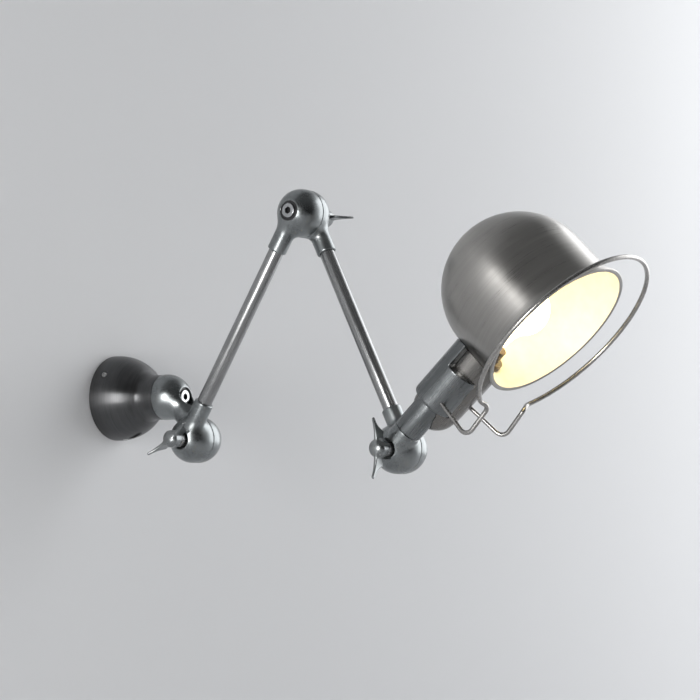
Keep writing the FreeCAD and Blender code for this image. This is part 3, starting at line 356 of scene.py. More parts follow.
def addPiece(name, verts, faces, place, finish, body, slot, replaced, sharp):
    mesh = bpy.data.meshes.new(name)
    mesh.from_pydata([tuple(c * mm for c in v) for v in verts], [], faces)
    mesh.validate()
    tidy = bmesh.new()
    tidy.from_mesh(mesh)
    bmesh.ops.recalc_face_normals(tidy, faces=tidy.faces)
    tidy.to_mesh(mesh)
    tidy.free()
    mesh.materials.append(finishes[finish])
    smoothMesh(mesh, sharp)
    return samePiece(name, mesh, place, body, slot, replaced)


def smoothMesh(mesh, sharp):
    mesh.shade_smooth()
    mesh.set_sharp_from_angle(angle=math.radians(sharp))


def samePiece(name, mesh, place, body, slot, replaced):  # pieces from one mould share one mesh
    piece = bpy.data.objects.new(name, mesh)
    bpy.context.scene.collection.objects.link(piece)
    piece.matrix_world = place
    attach(piece, body)
    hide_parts(replaced)
    return piece


# The points after start up to end. The centre is on the left of the way for side +1, on the right for -1.
def arcTo(start, end, radius, side, count):
    (x0, y0), (x1, y1) = start, end
    dx, dy = x1 - x0, y1 - y0
    chord = math.hypot(dx, dy)
    rise = math.sqrt(max(radius ** 2 - chord ** 2 / 4, 0))
    cx = (x0 + x1) / 2 - dy / chord * rise * side
    cy = (y0 + y1) / 2 + dx / chord * rise * side
    a0, a1 = math.atan2(y0 - cy, x0 - cx), math.atan2(y1 - cy, x1 - cx)
    sweep = (a1 - a0) * side % (2 * math.pi) * side
    angles = [a0 + sweep * i / count for i in range(1, count + 1)]
    return [(cx + radius * math.cos(a), cy + radius * math.sin(a)) for a in angles]


# An outline's points are (across, up). Three more entries, the radius, side and count of arcTo, make the
# stretch that ends there an arc from the point before.
def drawn(points):
    out = []
    for across, up, *arc in points:
        out += arcTo(out[-1], (across, up), *arc) if arc else [(across, up)]
    return out


flatCorner = 150.0  # corners flatter than this are left as they are
mostOfSide = 0.45


def softCorners(points, radius, count):  # rounds the sharp corners of a closed outline
    out = []
    for i, here in enumerate(points):
        p, a, b = Vector(here), Vector(points[i - 1]), Vector(points[(i + 1) % len(points)])
        toA, toB = a - p, b - p
        if toA.length < tiny or toB.length < tiny:
            continue
        angle = toA.angle(toB)
        if angle > math.radians(flatCorner) or here[0] < tiny:
            out.append(tuple(p))
            continue
        cut = min(radius / math.tan(angle / 2), toA.length * mostOfSide, toB.length * mostOfSide)
        start, end = p + toA.normalized() * cut, p + toB.normalized() * cut
        for k in range(count + 1):
            f = k / count
            out.append(tuple(start * (1 - f) ** 2 + p * 2 * f * (1 - f) + end * f ** 2))
    return out


def turnedPiece(name, outline, place, finish, body, slot, replaced, count=120):
    verts, faces, rings = [], [], []
    for radius, height in outline:
        if radius < tiny:
            rings.append([len(verts)])
            verts.append((0.0, 0.0, height))
            continue
        rings.append(list(range(len(verts), len(verts) + count)))
        for i in range(count):
            turn = 2 * math.pi * i / count
            verts.append((radius * math.cos(turn), radius * math.sin(turn), height))
    for i, ring in enumerate(rings):
        after = rings[(i + 1) % len(rings)]
        if len(ring) == 1 and len(after) == 1:
            continue
        for k in range(count):
            n = (k + 1) % count
            if len(ring) == 1:
                faces.append((ring[0], after[k], after[n]))
            elif len(after) == 1:
                faces.append((ring[k], after[0], ring[n]))
            else:
                faces.append((ring[k], after[k], after[n], ring[n]))
    return addPiece(name, verts, faces, place, finish, body, slot, replaced, turnedSharp)


def cutAway(piece, cutters):  # takes the cutters' shapes out of a piece
    for cutter in cutters:
        change = piece.modifiers.new("cut", "BOOLEAN")
        change.object = cutter
        change.solver = "EXACT"
    bpy.context.view_layer.update()
    cooked = bpy.data.meshes.new_from_object(piece.evaluated_get(bpy.context.evaluated_depsgraph_get()))
    piece.modifiers.clear()
    piece.data = cooked
    for cutter in cutters:
        bpy.data.objects.remove(cutter)
    smoothMesh(cooked, turnedSharp)


def cutterRod(radius, length, place, count, travel=0.0):  # a rod along Z, stretched along X by travel
    shape = bmesh.new()
    loops = []
    for height in (0.0, length):
        loop = []
        for i in range(count):
            turn = 2 * math.pi * i / count
            shift = travel / 2 if math.cos(turn) > 0 else -travel / 2
            across, aside = radius * math.cos(turn) + shift, radius * math.sin(turn)
            loop.append(shape.verts.new((across * mm, aside * mm, height * mm)))
        loops.append(loop)
    low, high = loops
    shape.faces.new(low[::-1])
    shape.faces.new(high)
    for i in range(count):
        n = (i + 1) % count
        shape.faces.new((low[i], low[n], high[n], high[i]))
    mesh = bpy.data.meshes.new("cutter")
    shape.to_mesh(mesh)
    shape.free()
    cutter = bpy.data.objects.new("cutter", mesh)
    bpy.context.scene.collection.objects.link(cutter)
    cutter.matrix_world = place
    return cutter


# A piece with soft casting edges is drawn as a distance field: negative inside, and zero on its skin.


def softJoin(a, b, blend):
    mix = np.clip(0.5 + 0.5 * (b - a) / blend, 0, 1)
    return b + (a - b) * mix - blend * mix * (1 - mix)


def softCut(a, b, blend):  # a without b
    return -softJoin(-a, b, blend)


def softMeet(a, b, blend):
    return -softJoin(-a, -b, blend)


def fromAxis(a, b, radius=0.0):  # distance from a round rod whose axis is square to a and b
    return np.sqrt(a * a + b * b) - radius


fieldSet = {"before": 1.5, "after": 2.5, "rounds": 4, "probe": 0.01, "leastSlope": 0.2}


def fieldFaces(inside, index):  # one four-sided face across each grid edge that goes through the skin
    faces = []
    for axis in range(3):
        first, second = [i for i in range(3) if i != axis]
        ahead, behind = [slice(None)] * 3, [slice(None)] * 3
        ahead[axis], behind[axis] = slice(1, None), slice(None, -1)
        edges = np.argwhere(inside[tuple(ahead)] != inside[tuple(behind)])
        quads = []
        for da, db in ((0, 0), (1, 0), (1, 1), (0, 1)):
            cell = edges.copy()
            cell[:, first] -= da
            cell[:, second] -= db
            quads.append(index[cell[:, 0], cell[:, 1], cell[:, 2]])
        faces += np.stack(quads, 1).tolist()
    return faces


def ontoSkin(field, verts, step):  # brings every point onto the skin
    probe = fieldSet["probe"]
    for _ in range(fieldSet["rounds"]):
        slope = np.stack([(field(*(verts + d).T) - field(*(verts - d).T)) / (2 * probe)
                          for d in np.eye(3) * probe], 1)
        move = field(*verts.T) / np.maximum((slope ** 2).sum(1), fieldSet["leastSlope"])
        verts = verts - slope * np.clip(move, -step, step)[:, None]
    return verts


def fieldPiece(name, field, low, high, step, place, finish, body, slot, replaced):
    axes = [np.arange(low[i] - fieldSet["before"] * step, high[i] + fieldSet["after"] * step, step)
            for i in range(3)]
    values = field(*np.meshgrid(*axes, indexing="ij"))
    inside = values < 0
    shape = [n - 1 for n in values.shape]

    def corner(grid, c):
        return grid[c[0]:c[0] + shape[0], c[1]:c[1] + shape[1], c[2]:c[2] + shape[2]]

    total = np.zeros((*shape, 3))
    hits = np.zeros(shape)
    for a in np.ndindex(2, 2, 2):
        for axis in range(3):
            if a[axis]:
                continue
            b = tuple(v + (i == axis) for i, v in enumerate(a))
            va, vb = corner(values, a), corner(values, b)
            crossing = corner(inside, a) != corner(inside, b)
            share = np.where(crossing, va / np.where(crossing, va - vb, 1.0), 0)
            for i in range(3):
                total[..., i] += crossing * (a[i] + (share if i == axis else 0))
            hits += crossing
    used = hits > 0
    index = np.full(shape, -1)
    index[used] = np.arange(used.sum())
    start = np.array([axis[0] for axis in axes])
    verts = start + (np.argwhere(used) + total[used] / hits[used][:, None]) * step
    verts = ontoSkin(field, verts, step)
    return addPiece(name, verts.tolist(), fieldFaces(inside, index), place, finish, body, slot, replaced,
                    fieldSharp)


# Each half of a ball joint has its own frame: Z from the seam to the pole, and X along the socket.
ballSet = {"radius": 22.0, "skirt": 3.5, "counterbore": 9.2, "floor": 14.5, "hole": 4.05, "edge": 0.7,
           "seamEdge": 0.9, "holeEdge": 0.3, "socketAt": 13.0, "socketRadius": 9.0, "socketEnd": 40.0,
           "socketEdge": 1.4, "socketBlend": 6.0, "tubeRadius": 7.0, "tubeStop": 19.0, "tubeEdge": 0.5,
           "stemRadius": 12.7, "stemEnd": 22.3, "stemEdge": 1.0, "stemBlend": 1.6, "neckRadius": 12.4,
           "neckBlend": 8.0, "step": 0.55, "doubleStep": 0.65, "knuckleHigh": (23, 22, 26),
           "doubleHigh": (64, 22, 71)}


def ballField(x, y, z):
    beyond = np.maximum(z - ballSet["skirt"], 0)
    return np.sqrt(x * x + y * y + beyond ** 2) - ballSet["radius"]


def counterbored(body, around, z):
    sink = np.maximum(around - ballSet["counterbore"], ballSet["floor"] - z)
    return softCut(body, sink, ballSet["edge"])


def boredField(body, x, y, z):  # the seam face, the counterbore in the pole and the bolt hole
    around = fromAxis(x, y)
    body = counterbored(softMeet(body, -z, ballSet["seamEdge"]), around, z)
    return softCut(body, around - ballSet["hole"], ballSet["holeEdge"])


def withArm(x, y, z, radius, end, edge, blend):  # a half ball with a round arm along X, bored
    arm = fromAxis(y, z - ballSet["socketAt"]) - radius
    arm = softMeet(np.maximum(arm, -x), x - end, edge)
    return boredField(softJoin(ballField(x, y, z), arm, blend), x, y, z)


def socketField(x, y, z):
    body = withArm(x, y, z, ballSet["socketRadius"], ballSet["socketEnd"], ballSet["socketEdge"],
                   ballSet["socketBlend"])
    bore = fromAxis(y, z - ballSet["socketAt"]) - ballSet["tubeRadius"]
    return softCut(body, np.maximum(bore, ballSet["tubeStop"] - x), ballSet["tubeEdge"])


def knuckleField(x, y, z):
    return withArm(x, y, z, ballSet["stemRadius"], ballSet["stemEnd"], ballSet["stemEdge"],
                   ballSet["stemBlend"])


swivelOut = placeFrame(swivelAt, (1, 0, 0), (0, 0, -1))


def doubleField(x, y, z):  # two halves at right angles on one oblique neck, in the swivel half's frame
    wx, wy, wz = z, y, -x  # out of the wall, aside, up, from the swivel's seam
    centre = (baseAt - swivelAt) / mm
    bx, by, bz = -(wz - centre.z), wx - centre.x, wy - centre.y
    start = np.array([ballSet["socketAt"], 0.0, 0.0])
    end = np.array([centre.x, 0.0, centre.z])
    length = np.linalg.norm(end - start)
    along = (end - start) / length
    run = np.clip((wx - start[0]) * along[0] + wy * along[1] + (wz - start[2]) * along[2], 0, length)
    aside = (wx - start[0] - run * along[0], wy - run * along[1], wz - start[2] - run * along[2])
    neck = np.sqrt(sum(part ** 2 for part in aside)) - ballSet["neckRadius"]
    neck = np.maximum(neck, np.maximum(-z, -bz))
    one = softMeet(ballField(x, y, z), -z, ballSet["seamEdge"])
    two = softMeet(ballField(bx, by, bz), -bz, ballSet["seamEdge"])
    body = softJoin(softJoin(one, neck, ballSet["neckBlend"]), two, ballSet["neckBlend"])
    for px, py, pz in ((x, y, z), (bx, by, bz)):
        around = fromAxis(px, py)
        body = counterbored(body, around, pz)
        body = softCut(body, np.maximum(around - ballSet["hole"], -pz), ballSet["holeEdge"])
    return body


ballLow = (-ballSet["radius"], -ballSet["radius"], 0)
socketHigh = (ballSet["socketEnd"], ballSet["radius"], ballSet["radius"] + ballSet["skirt"])
socketFrames = {
    "arm_1_lower_socket": ("arm_1", placeFrame(baseAt, (0, -1, 0), armOneAxis)),
    "arm_1_upper_socket": ("arm_1", placeFrame(elbowAt, (0, -1, 0), -armOneAxis)),
    "arm_2_upper_socket": ("arm_2", placeFrame(elbowAt, (0, 1, 0), armTwoAxis)),
    "arm_2_lower_socket": ("arm_2", placeFrame(wristAt, (0, 1, 0), -armTwoAxis)),
}
socket = None
for node, (body, place) in socketFrames.items():
    name = node.title().replace("_", "")
    if socket is None:
        socket = fieldPiece(name, socketField, ballLow, socketHigh, ballSet["step"], place, "cast", body,
                            "cast_metal", node)
    else:
        samePiece(name, socket.data, place, body, "cast_metal", node)
fieldPiece("HeadKnuckle", knuckleField, ballLow, ballSet["knuckleHigh"], ballSet["step"],
           placeFrame(wristAt, (0, -1, 0), stemAxis), "cast", "head_knuckle", "cast_metal", "head_knuckle")
fieldPiece("BaseKnuckle", doubleField, ballLow, ballSet["doubleHigh"], ballSet["doubleStep"], swivelOut,
           "cast", "base_knuckle", "cast_metal", "base_knuckle")
print("castings made")

tubeSet = {"radius": 7.0, "bore": 6.0, "edge": 0.35, "edgeSteps": 2}
tubeLength = (elbowAt - baseAt).length / mm - 2 * ballSet["tubeStop"]
tubeOutline = softCorners([(tubeSet["bore"], 0), (tubeSet["radius"], 0), (tubeSet["radius"], tubeLength),
                           (tubeSet["bore"], tubeLength)], tubeSet["edge"], tubeSet["edgeSteps"])
for number, start, along, side in (("1", baseAt, armOneAxis, -1), ("2", elbowAt, armTwoAxis, 1)):
    foot = start + Vector((0, side * ballSet["socketAt"] * mm, 0)) + along * ballSet["tubeStop"] * mm
    turnedPiece("TubeOfArm" + number, tubeOutline, placeFrame(foot, along, (0, 1, 0)), "tube",
                "arm_" + number, "tube_steel", "arm_" + number + "_tube")

# The clamp hardware is in the frame of the ball half that carries it.
hardwareSides = 96
boltSet = {"under": 16.8, "head": 6.5, "top": 24.8, "shank": 4.0, "length": 54.8, "edge": 0.7, "edgeSteps": 4,
           "key": 3.46, "keyDepth": 4.0, "keySides": 6, "cutterLength": 10.0, "skin": 0.1}
collarSet = {"floor": 14.5, "shelf": 16.8, "rim": 23.2, "outer": 9.15, "inner": 6.6, "hole": 4.05,
             "edge": 0.6, "edgeSteps": 4}
bushSet = {"foot": 14.5, "end": 28.9, "radius": 7.5, "hole": 4.05, "edge": 0.5, "edgeSteps": 3}

boltEnd = boltSet["under"] - boltSet["length"]
boltOutline = softCorners([(0, boltEnd), (boltSet["shank"], boltEnd), (boltSet["shank"], boltSet["under"]),
                           (boltSet["head"], boltSet["under"]), (boltSet["head"], boltSet["top"]),
                           (0, boltSet["top"])], boltSet["edge"], boltSet["edgeSteps"])
collarOutline = softCorners([
    (collarSet["hole"], collarSet["floor"]), (collarSet["outer"], collarSet["floor"]),
    (collarSet["outer"], collarSet["rim"]), (collarSet["inner"], collarSet["rim"]),
    (collarSet["inner"], collarSet["shelf"]), (collarSet["hole"], collarSet["shelf"]),
], collarSet["edge"], collarSet["edgeSteps"])
bushOutline = softCorners([(bushSet["hole"], bushSet["foot"]), (bushSet["radius"], bushSet["foot"]),
                           (bushSet["radius"], bushSet["end"]), (bushSet["hole"], bushSet["end"])],
                          bushSet["edge"], bushSet["edgeSteps"])


def cutKey(bolt, place):  # the six-sided key hole in the screw's head, its inside painted near-black as painted shade
    keyFloor = boltSet["top"] - boltSet["keyDepth"]
    rodPlace = place @ Matrix.Translation((0, 0, keyFloor * mm))
    cutAway(bolt, [cutterRod(boltSet["key"], boltSet["cutterLength"], rodPlace, boltSet["keySides"])])
    bolt.data.materials.append(finishes["keyPaintedShade"])
    for face in bolt.data.polygons:
        across, aside, up = (v / mm for v in face.center)
        if up > keyFloor - boltSet["skin"] and math.hypot(across, aside) < boltSet["key"]:
            face.material_index = 1


boltFrames = {
    "swivel": ("wall_base", swivelOut),
    "base": ("base_knuckle", placeFrame(baseAt, (0, 1, 0), (0, 0, 1))),
    "elbow": ("arm_1", placeFrame(elbowAt, (0, -1, 0), (0, 0, 1))),
    "wrist": ("arm_2", placeFrame(wristAt, (0, 1, 0), (0, 0, 1))),
}
bolt = collar = None
for joint, (body, place) in boltFrames.items():
    boltRole = (body, "bolt_steel", joint + "_bolt")
    collarRole = (body, "collar_plastic", joint + "_collar")
    boltName, collarName = "ScrewOf" + joint.title(), "CollarOf" + joint.title()
    if bolt is None:
        bolt = turnedPiece(boltName, boltOutline, place, "bolt", *boltRole, hardwareSides)
        cutKey(bolt, place)
        collar = turnedPiece(collarName, collarOutline, place, "collar", *collarRole, hardwareSides)
    else:
        samePiece(boltName, bolt.data, place, *boltRole)
        samePiece(collarName, collar.data, place, *collarRole)

# The leaf's outline is (across, up), and its reach is where the leaf is thinnest.
wingSet = {"leaf": ((4.0, 30.5), (15.5, 28.4), (26.0, 42.0, 19.0, -1, 8), (24.2, 45.0, 1.9, 1, 8),
                    (8.2, 40.4, 40.0, -1, 8), (4.0, 40.4)),
           "reach": 26.0, "rootHalf": 1.9, "tipHalf": 0.9, "leafEdge": 1.1, "foot": 29.2, "footEdge": 0.8,
           "rise": 1.2, "hub": 8.0, "crown": 10.0, "crownAt": 32.0, "crownEdge": 0.6, "bore": 4.05,
           "boreEnd": 38.9, "blend": 1.6, "step": 0.4, "low": (-26.5, -8.2, 27.5), "high": (26.5, 8.2, 45.6)}
leafPoints = drawn(wingSet["leaf"])


def outlineDistance(px, pz, points):  # distance to a closed outline, negative inside
    best = np.full(px.shape, np.inf)
    inside = np.zeros(px.shape, bool)
    for i, (x1, z1) in enumerate(points):
        x0, z0 = points[i - 1]
        ex, ez = x1 - x0, z1 - z0
        t = np.clip(((px - x0) * ex + (pz - z0) * ez) / (ex * ex + ez * ez), 0, 1)
        best = np.minimum(best, np.hypot(px - x0 - t * ex, pz - z0 - t * ez))
        crosses = (z0 > pz) != (z1 > pz)
        slant = ex / ez if abs(ez) > tiny else 0.0
        inside ^= crosses & (px < x0 + (pz - z0) * slant)
    return np.where(inside, -best, best)


def wingField(x, y, z):
    around = fromAxis(x, y)
    crown = np.sqrt(x * x + y * y + (z - wingSet["crownAt"]) ** 2) - wingSet["crown"]
    hub = softMeet(around - wingSet["hub"], crown, wingSet["crownEdge"])
    hub = softMeet(hub, wingSet["foot"] - z, wingSet["footEdge"])
    reach = np.clip(np.abs(x) / wingSet["reach"], 0, 1)
    half = wingSet["rootHalf"] + (wingSet["tipHalf"] - wingSet["rootHalf"]) * reach
    leaf = softMeet(outlineDistance(np.abs(x), z, leafPoints), np.abs(y) - half, wingSet["leafEdge"])
    body = softJoin(hub, leaf, wingSet["blend"])
    body = np.maximum(body, wingSet["foot"] - z - wingSet["rise"] * (around > wingSet["hub"]))
    return np.maximum(body, -np.maximum(around - wingSet["bore"], z - wingSet["boreEnd"]))


# Each joint has its centre, the side the nut is on, how far its wings lean, and the body of its bush.
wingFrames = {
    "base": (baseAt, -1, 34.0, "arm_1"),
    "elbow": (elbowAt, 1, 0.0, "arm_2"),
    "wrist": (wristAt, -1, 90.0, "head_knuckle"),
}
wing = bush = None
for joint, (centre, side, drop, bushBody) in wingFrames.items():
    lean = math.radians(drop)
    place = placeFrame(centre, (0, side, 0), (-math.cos(lean), 0, -math.sin(lean)))
    wingRole = (joint + "_wing", "wing_metal", joint + "_wing_nut")
    bushRole = (bushBody, "bush_steel", joint + "_bush")
    wingName, bushName = "WingNutOf" + joint.title(), "BushOf" + joint.title()
    if wing is None:
        wing = fieldPiece(wingName, wingField, wingSet["low"], wingSet["high"], wingSet["step"], place,
                          "wing", *wingRole)
        bush = turnedPiece(bushName, bushOutline, place, "bush", *bushRole, hardwareSides)
    else:
        samePiece(wingName, wing.data, place, *wingRole)
        samePiece(bushName, bush.data, place, *bushRole)
print("clamp screws, collars, bushes and wing nuts made")

cupFrame = placeFrame((0, 0, 0), (1, 0, 0), (0, 0, 1))
cupSet = {"rim": 41.5, "rimLow": 1.0, "inner": 40.3, "shoulder": 7.0, "belly": 52.0, "innerBelly": 50.8,
          "waist": 23.8, "waistAt": 43.5, "innerWaist": 22.7, "innerWaistAt": 43.0, "flare": 18.0,
          "innerFlare": 19.2, "neck": 21.7, "innerNeck": 20.5, "neckAt": 53.0, "end": 61.8, "edge": 0.3,
          "rimEdge": 0.4, "sides": 160, "screwAt": 13.6, "screwHole": 2.2, "screwHoleFrom": 34.0,
          "seatHole": 3.2, "seatHoleFrom": 39.3, "screwDepth": 9.0, "screwSides": 48, "slotAt": 25.0,
          "slotTravel": 5.5, "slotHole": 4.2, "slotDepth": 60.0, "slotSides": 64,
          "screwTurns": (148.0, 268.0, 28.0)}
cupOutline = drawn([
    (cupSet["inner"], cupSet["rimLow"]),
    (cupSet["rim"] - cupSet["edge"], cupSet["rimLow"]),
    (cupSet["rim"], cupSet["rimLow"] + cupSet["rimEdge"]),
    (cupSet["rim"], cupSet["shoulder"]),
    (cupSet["waist"], cupSet["waistAt"], cupSet["belly"], 1, 26),
    (cupSet["neck"], cupSet["neckAt"], cupSet["flare"], -1, 8),
    (cupSet["neck"], cupSet["end"] - cupSet["edge"]),
    (cupSet["neck"] - cupSet["edge"], cupSet["end"]),
    (cupSet["innerNeck"], cupSet["end"]),
    (cupSet["innerNeck"], cupSet["neckAt"]),
    (cupSet["innerWaist"], cupSet["innerWaistAt"], cupSet["innerFlare"], 1, 8),
    (cupSet["inner"], cupSet["shoulder"], cupSet["innerBelly"], -1, 26),
])
wallCup = turnedPiece("WallCup", cupOutline, cupFrame, "cup", "wall_base", "cup_steel", "wall_cup",
                      cupSet["sides"])
slotPlace = cupFrame @ placeFrame((0, 0, cupSet["slotAt"] * mm), (-1, 0, 0), (0, 0, 1))
cutters = [cutterRod(cupSet["slotHole"], cupSet["slotDepth"], slotPlace, cupSet["slotSides"],
                     cupSet["slotTravel"])]
for degrees in cupSet["screwTurns"]:
    out = Vector((math.sin(math.radians(degrees)), -math.cos(math.radians(degrees)), 0))
    for hole in ("screwHole", "seatHole"):
        seat = out * cupSet[hole + "From"] * mm + Vector((0, 0, cupSet["screwAt"] * mm))
        seatPlace = cupFrame @ placeFrame(seat, out, (0, 0, 1))
        cutters.append(cutterRod(cupSet[hole], cupSet["screwDepth"], seatPlace, cupSet["screwSides"]))
cutAway(wallCup, cutters)
print("wall cup made")

stemFrame = headFrame @ Matrix.Translation((0, -ballSet["socketAt"] * mm, 0))
sleeveSet = {"low": 22.6, "shelf": 38.0, "top": 56.5, "radius": 12.7, "bore": 5.05, "recess": 9.6,
             "edge": 0.5, "edgeSteps": 3}
sleeveOutline = softCorners([
    (sleeveSet["bore"], sleeveSet["low"]), (sleeveSet["radius"], sleeveSet["low"]),
    (sleeveSet["radius"], sleeveSet["top"]), (sleeveSet["recess"], sleeveSet["top"]),
    (sleeveSet["recess"], sleeveSet["shelf"]), (sleeveSet["bore"], sleeveSet["shelf"]),
], sleeveSet["edge"], sleeveSet["edgeSteps"])
turnedPiece("StemSleeve", sleeveOutline, stemFrame, "sleeve", "head", "cast_metal", "head_sleeve")

# Depths along the shade's axis are measured from the mouth.
shadeSet = {"axisAt": 176.9, "mouth": 36.6, "radius": 65.6, "inner": 64.6, "skirt": 51.0, "bead": 1.2,
            "beadAt": 68.6, "lip": 66.0, "lipAt": 0.4, "bendTo": 2.9, "bendRadius": 67.0, "edge": 67.6,
            "flareAt": 8.0, "flareRadius": 65.8, "straightAt": 10.0, "straightSteps": 4, "insideFrom": 9.0,
            "insideStep": 30.0, "paintTo": 65.1, "paintSlope": 0.155, "domeSteps": 40, "beadSteps": 4,
            "sides": 200, "hole": 14.6, "holeAt": 102.0, "holeDepth": 30.0, "holeSides": 96, "gap": 0.5}
bracketSet = {"radius": 19.5, "low": 56.5, "floor": 62.0, "step": 96.0, "stepEdge": -3.0, "round": 3.0,
              "blend": 1.0, "fit": 0.1, "bore": 5.0, "slitAt": -12.95, "slitHalf": 0.45, "slitLow": 99.0,
              "slitSide": -28.5, "slitEdge": 0.3, "grid": 0.55, "boxLow": (-20, -33, 56),
              "boxHigh": (20, 7, 125)}
canSet = {"low": 52.0, "lowRadius": 21.6, "top": 122.0, "topRadius": 23.2}


def shadeRoom(x, y, z, radius):  # the room the shade takes, in the head's frame
    depth = shadeSet["mouth"] - x
    up = z - shadeSet["axisAt"]
    return np.sqrt(y * y + up * up + np.maximum(depth - shadeSet["skirt"], 0) ** 2) - radius


def bracketField(x, y, z):  # in the head's frame
    around = fromAxis(x, y + ballSet["socketAt"])
    body = softMeet(around - bracketSet["radius"], bracketSet["low"] - z, bracketSet["round"])
    share = (z - canSet["low"]) / (canSet["top"] - canSet["low"])
    canRadius = canSet["lowRadius"] + (canSet["topRadius"] - canSet["lowRadius"]) * share
    hollow = np.maximum(fromAxis(x, y) - canRadius - bracketSet["fit"], bracketSet["floor"] - z)
    body = softCut(body, hollow, bracketSet["blend"])
    stepRoom = softMeet(bracketSet["stepEdge"] - x, bracketSet["step"] - z, bracketSet["round"])
    body = softCut(body, stepRoom, bracketSet["blend"])
    slit = np.maximum(np.abs(x - bracketSet["slitAt"]) - bracketSet["slitHalf"], bracketSet["slitLow"] - z)
    body = softCut(body, np.maximum(slit, y - bracketSet["slitSide"]), bracketSet["slitEdge"])
    body = np.maximum(body, bracketSet["bore"] - around)
    return np.maximum(body, -shadeRoom(x, y, z, shadeSet["radius"] + shadeSet["gap"]))


fieldPiece("HeadBracket", bracketField, bracketSet["boxLow"], bracketSet["boxHigh"], bracketSet["grid"],
           headFrame, "sleeve", "head", "cast_metal", "head_bracket")

shadeAt = (shadeSet["mouth"] * mm, 0, shadeSet["axisAt"] * mm)
shadePlace = headFrame @ placeFrame(shadeAt, (-1, 0, 0), (0, 0, 1))
beadOut = shadeSet["beadAt"] + shadeSet["bead"]
domeTop = shadeSet["skirt"] + shadeSet["radius"]
innerTop = shadeSet["skirt"] + shadeSet["inner"]
straight = [n / shadeSet["straightSteps"] for n in range(1, shadeSet["straightSteps"] + 1)]
shadeOutline = drawn([
    (shadeSet["lip"], shadeSet["lipAt"]),
    (shadeSet["beadAt"], 0.0),
    (beadOut, shadeSet["bead"], shadeSet["bead"], 1, shadeSet["beadSteps"]),
    (shadeSet["beadAt"], 2 * shadeSet["bead"], shadeSet["bead"], 1, shadeSet["beadSteps"]),
    (shadeSet["edge"], 2 * shadeSet["bead"]),
    (shadeSet["bendRadius"], shadeSet["bendTo"]),
    (shadeSet["flareRadius"], shadeSet["flareAt"]),
    (shadeSet["radius"], shadeSet["straightAt"]),
    *((shadeSet["radius"], shadeSet["skirt"] * f + shadeSet["straightAt"] * (1 - f)) for f in straight),
    (0, domeTop, shadeSet["radius"], 1, shadeSet["domeSteps"]),
    (0, innerTop),
    (shadeSet["inner"], shadeSet["skirt"], shadeSet["inner"], -1, shadeSet["domeSteps"]),
    (shadeSet["inner"], shadeSet["insideStep"]),
    (shadeSet["inner"], shadeSet["insideFrom"]),
])
shade = turnedPiece("Shade", shadeOutline, shadePlace, "shade", "head", "shade_steel", "shade",
                    shadeSet["sides"])
shade.data.materials.append(finishes["shadeInside"])
for face in shade.data.polygons:
    across, aside, depth = (v / mm for v in face.center)
    far = math.hypot(math.hypot(across, aside), max(depth - shadeSet["skirt"], 0))
    if far < shadeSet["paintTo"] + max(shadeSet["insideFrom"] - depth, 0) * shadeSet["paintSlope"]:
        face.material_index = 1
holePlace = headFrame @ Matrix.Translation((0, 0, shadeSet["holeAt"] * mm))
cutAway(shade, [cutterRod(shadeSet["hole"], shadeSet["holeDepth"], holePlace, shadeSet["holeSides"])])

holderSet = {"low": 62.0, "radius": 13.2, "flange": 17.5, "flangeLow": 105.0, "flangeTop": 109.2,
             "skirt": 14.2, "ribsFrom": 118.1, "pitch": 3.0, "ribs": 3, "groove": 13.5, "top": 128.0,
             "bore": 8.4, "floor": 94.0, "edge": 0.35, "edgeSteps": 3}
holderOutline = [
    (0, holderSet["low"]), (holderSet["radius"], holderSet["low"]),
    (holderSet["radius"], holderSet["flangeLow"]), (holderSet["flange"], holderSet["flangeLow"]),
    (holderSet["flange"], holderSet["flangeTop"]), (holderSet["skirt"], holderSet["flangeTop"]),
    (holderSet["skirt"], holderSet["ribsFrom"]),
]
for n in range(holderSet["ribs"]):
    rib = holderSet["ribsFrom"] + n * holderSet["pitch"]
    grooveLow, grooveTop = rib + holderSet["pitch"] / 2, rib + holderSet["pitch"]
    holderOutline += [(holderSet["skirt"], grooveLow), (holderSet["groove"], grooveLow),
                      (holderSet["groove"], grooveTop), (holderSet["skirt"], grooveTop)]
holderOutline += [(holderSet["skirt"], holderSet["top"]), (holderSet["bore"], holderSet["top"]),
                  (holderSet["bore"], holderSet["floor"]), (0, holderSet["floor"])]
holderOutline = softCorners(holderOutline, holderSet["edge"], holderSet["edgeSteps"])
turnedPiece("Lampholder", holderOutline, headFrame, "holder", "head", "holder_plastic", "lampholder_body",
            hardwareSides)

bulbSet = {"globe": 22.5, "wall": 0.8, "globeAt": 168.0, "shoulder": (12.76, 149.5),
           "innerShoulder": (11.4, 149.5), "lowSteps": 14, "highSteps": 20,
           "neck": ((6.2, 121.0), (7.0, 121.0), (7.8, 129.0), (9.5, 133.0), (11.2, 144.0)),
           "innerNeck": ((8.7, 133.0), (7.0, 129.0))}
innerGlobe = bulbSet["globe"] - bulbSet["wall"]
widest, innerWidest = (bulbSet["globe"], bulbSet["globeAt"]), (innerGlobe, bulbSet["globeAt"])
bulbTop, bulbInnerTop = (0, bulbSet["globeAt"] + bulbSet["globe"]), (0, bulbSet["globeAt"] + innerGlobe)
bulbOutline = [
    *bulbSet["neck"],
    *arcTo(bulbSet["shoulder"], widest, bulbSet["globe"], 1, bulbSet["lowSteps"]),
    *arcTo(widest, bulbTop, bulbSet["globe"], 1, bulbSet["highSteps"]),
    bulbInnerTop,
    *arcTo(bulbInnerTop, innerWidest, innerGlobe, -1, bulbSet["highSteps"]),
    *arcTo(innerWidest, bulbSet["innerShoulder"], innerGlobe, -1, bulbSet["lowSteps"]),
    *bulbSet["innerNeck"],
]
turnedPiece("BulbGlass", bulbOutline, headFrame, "opal", "head", "bulb_opal", "bulb_glass", hardwareSides)
print("head made")

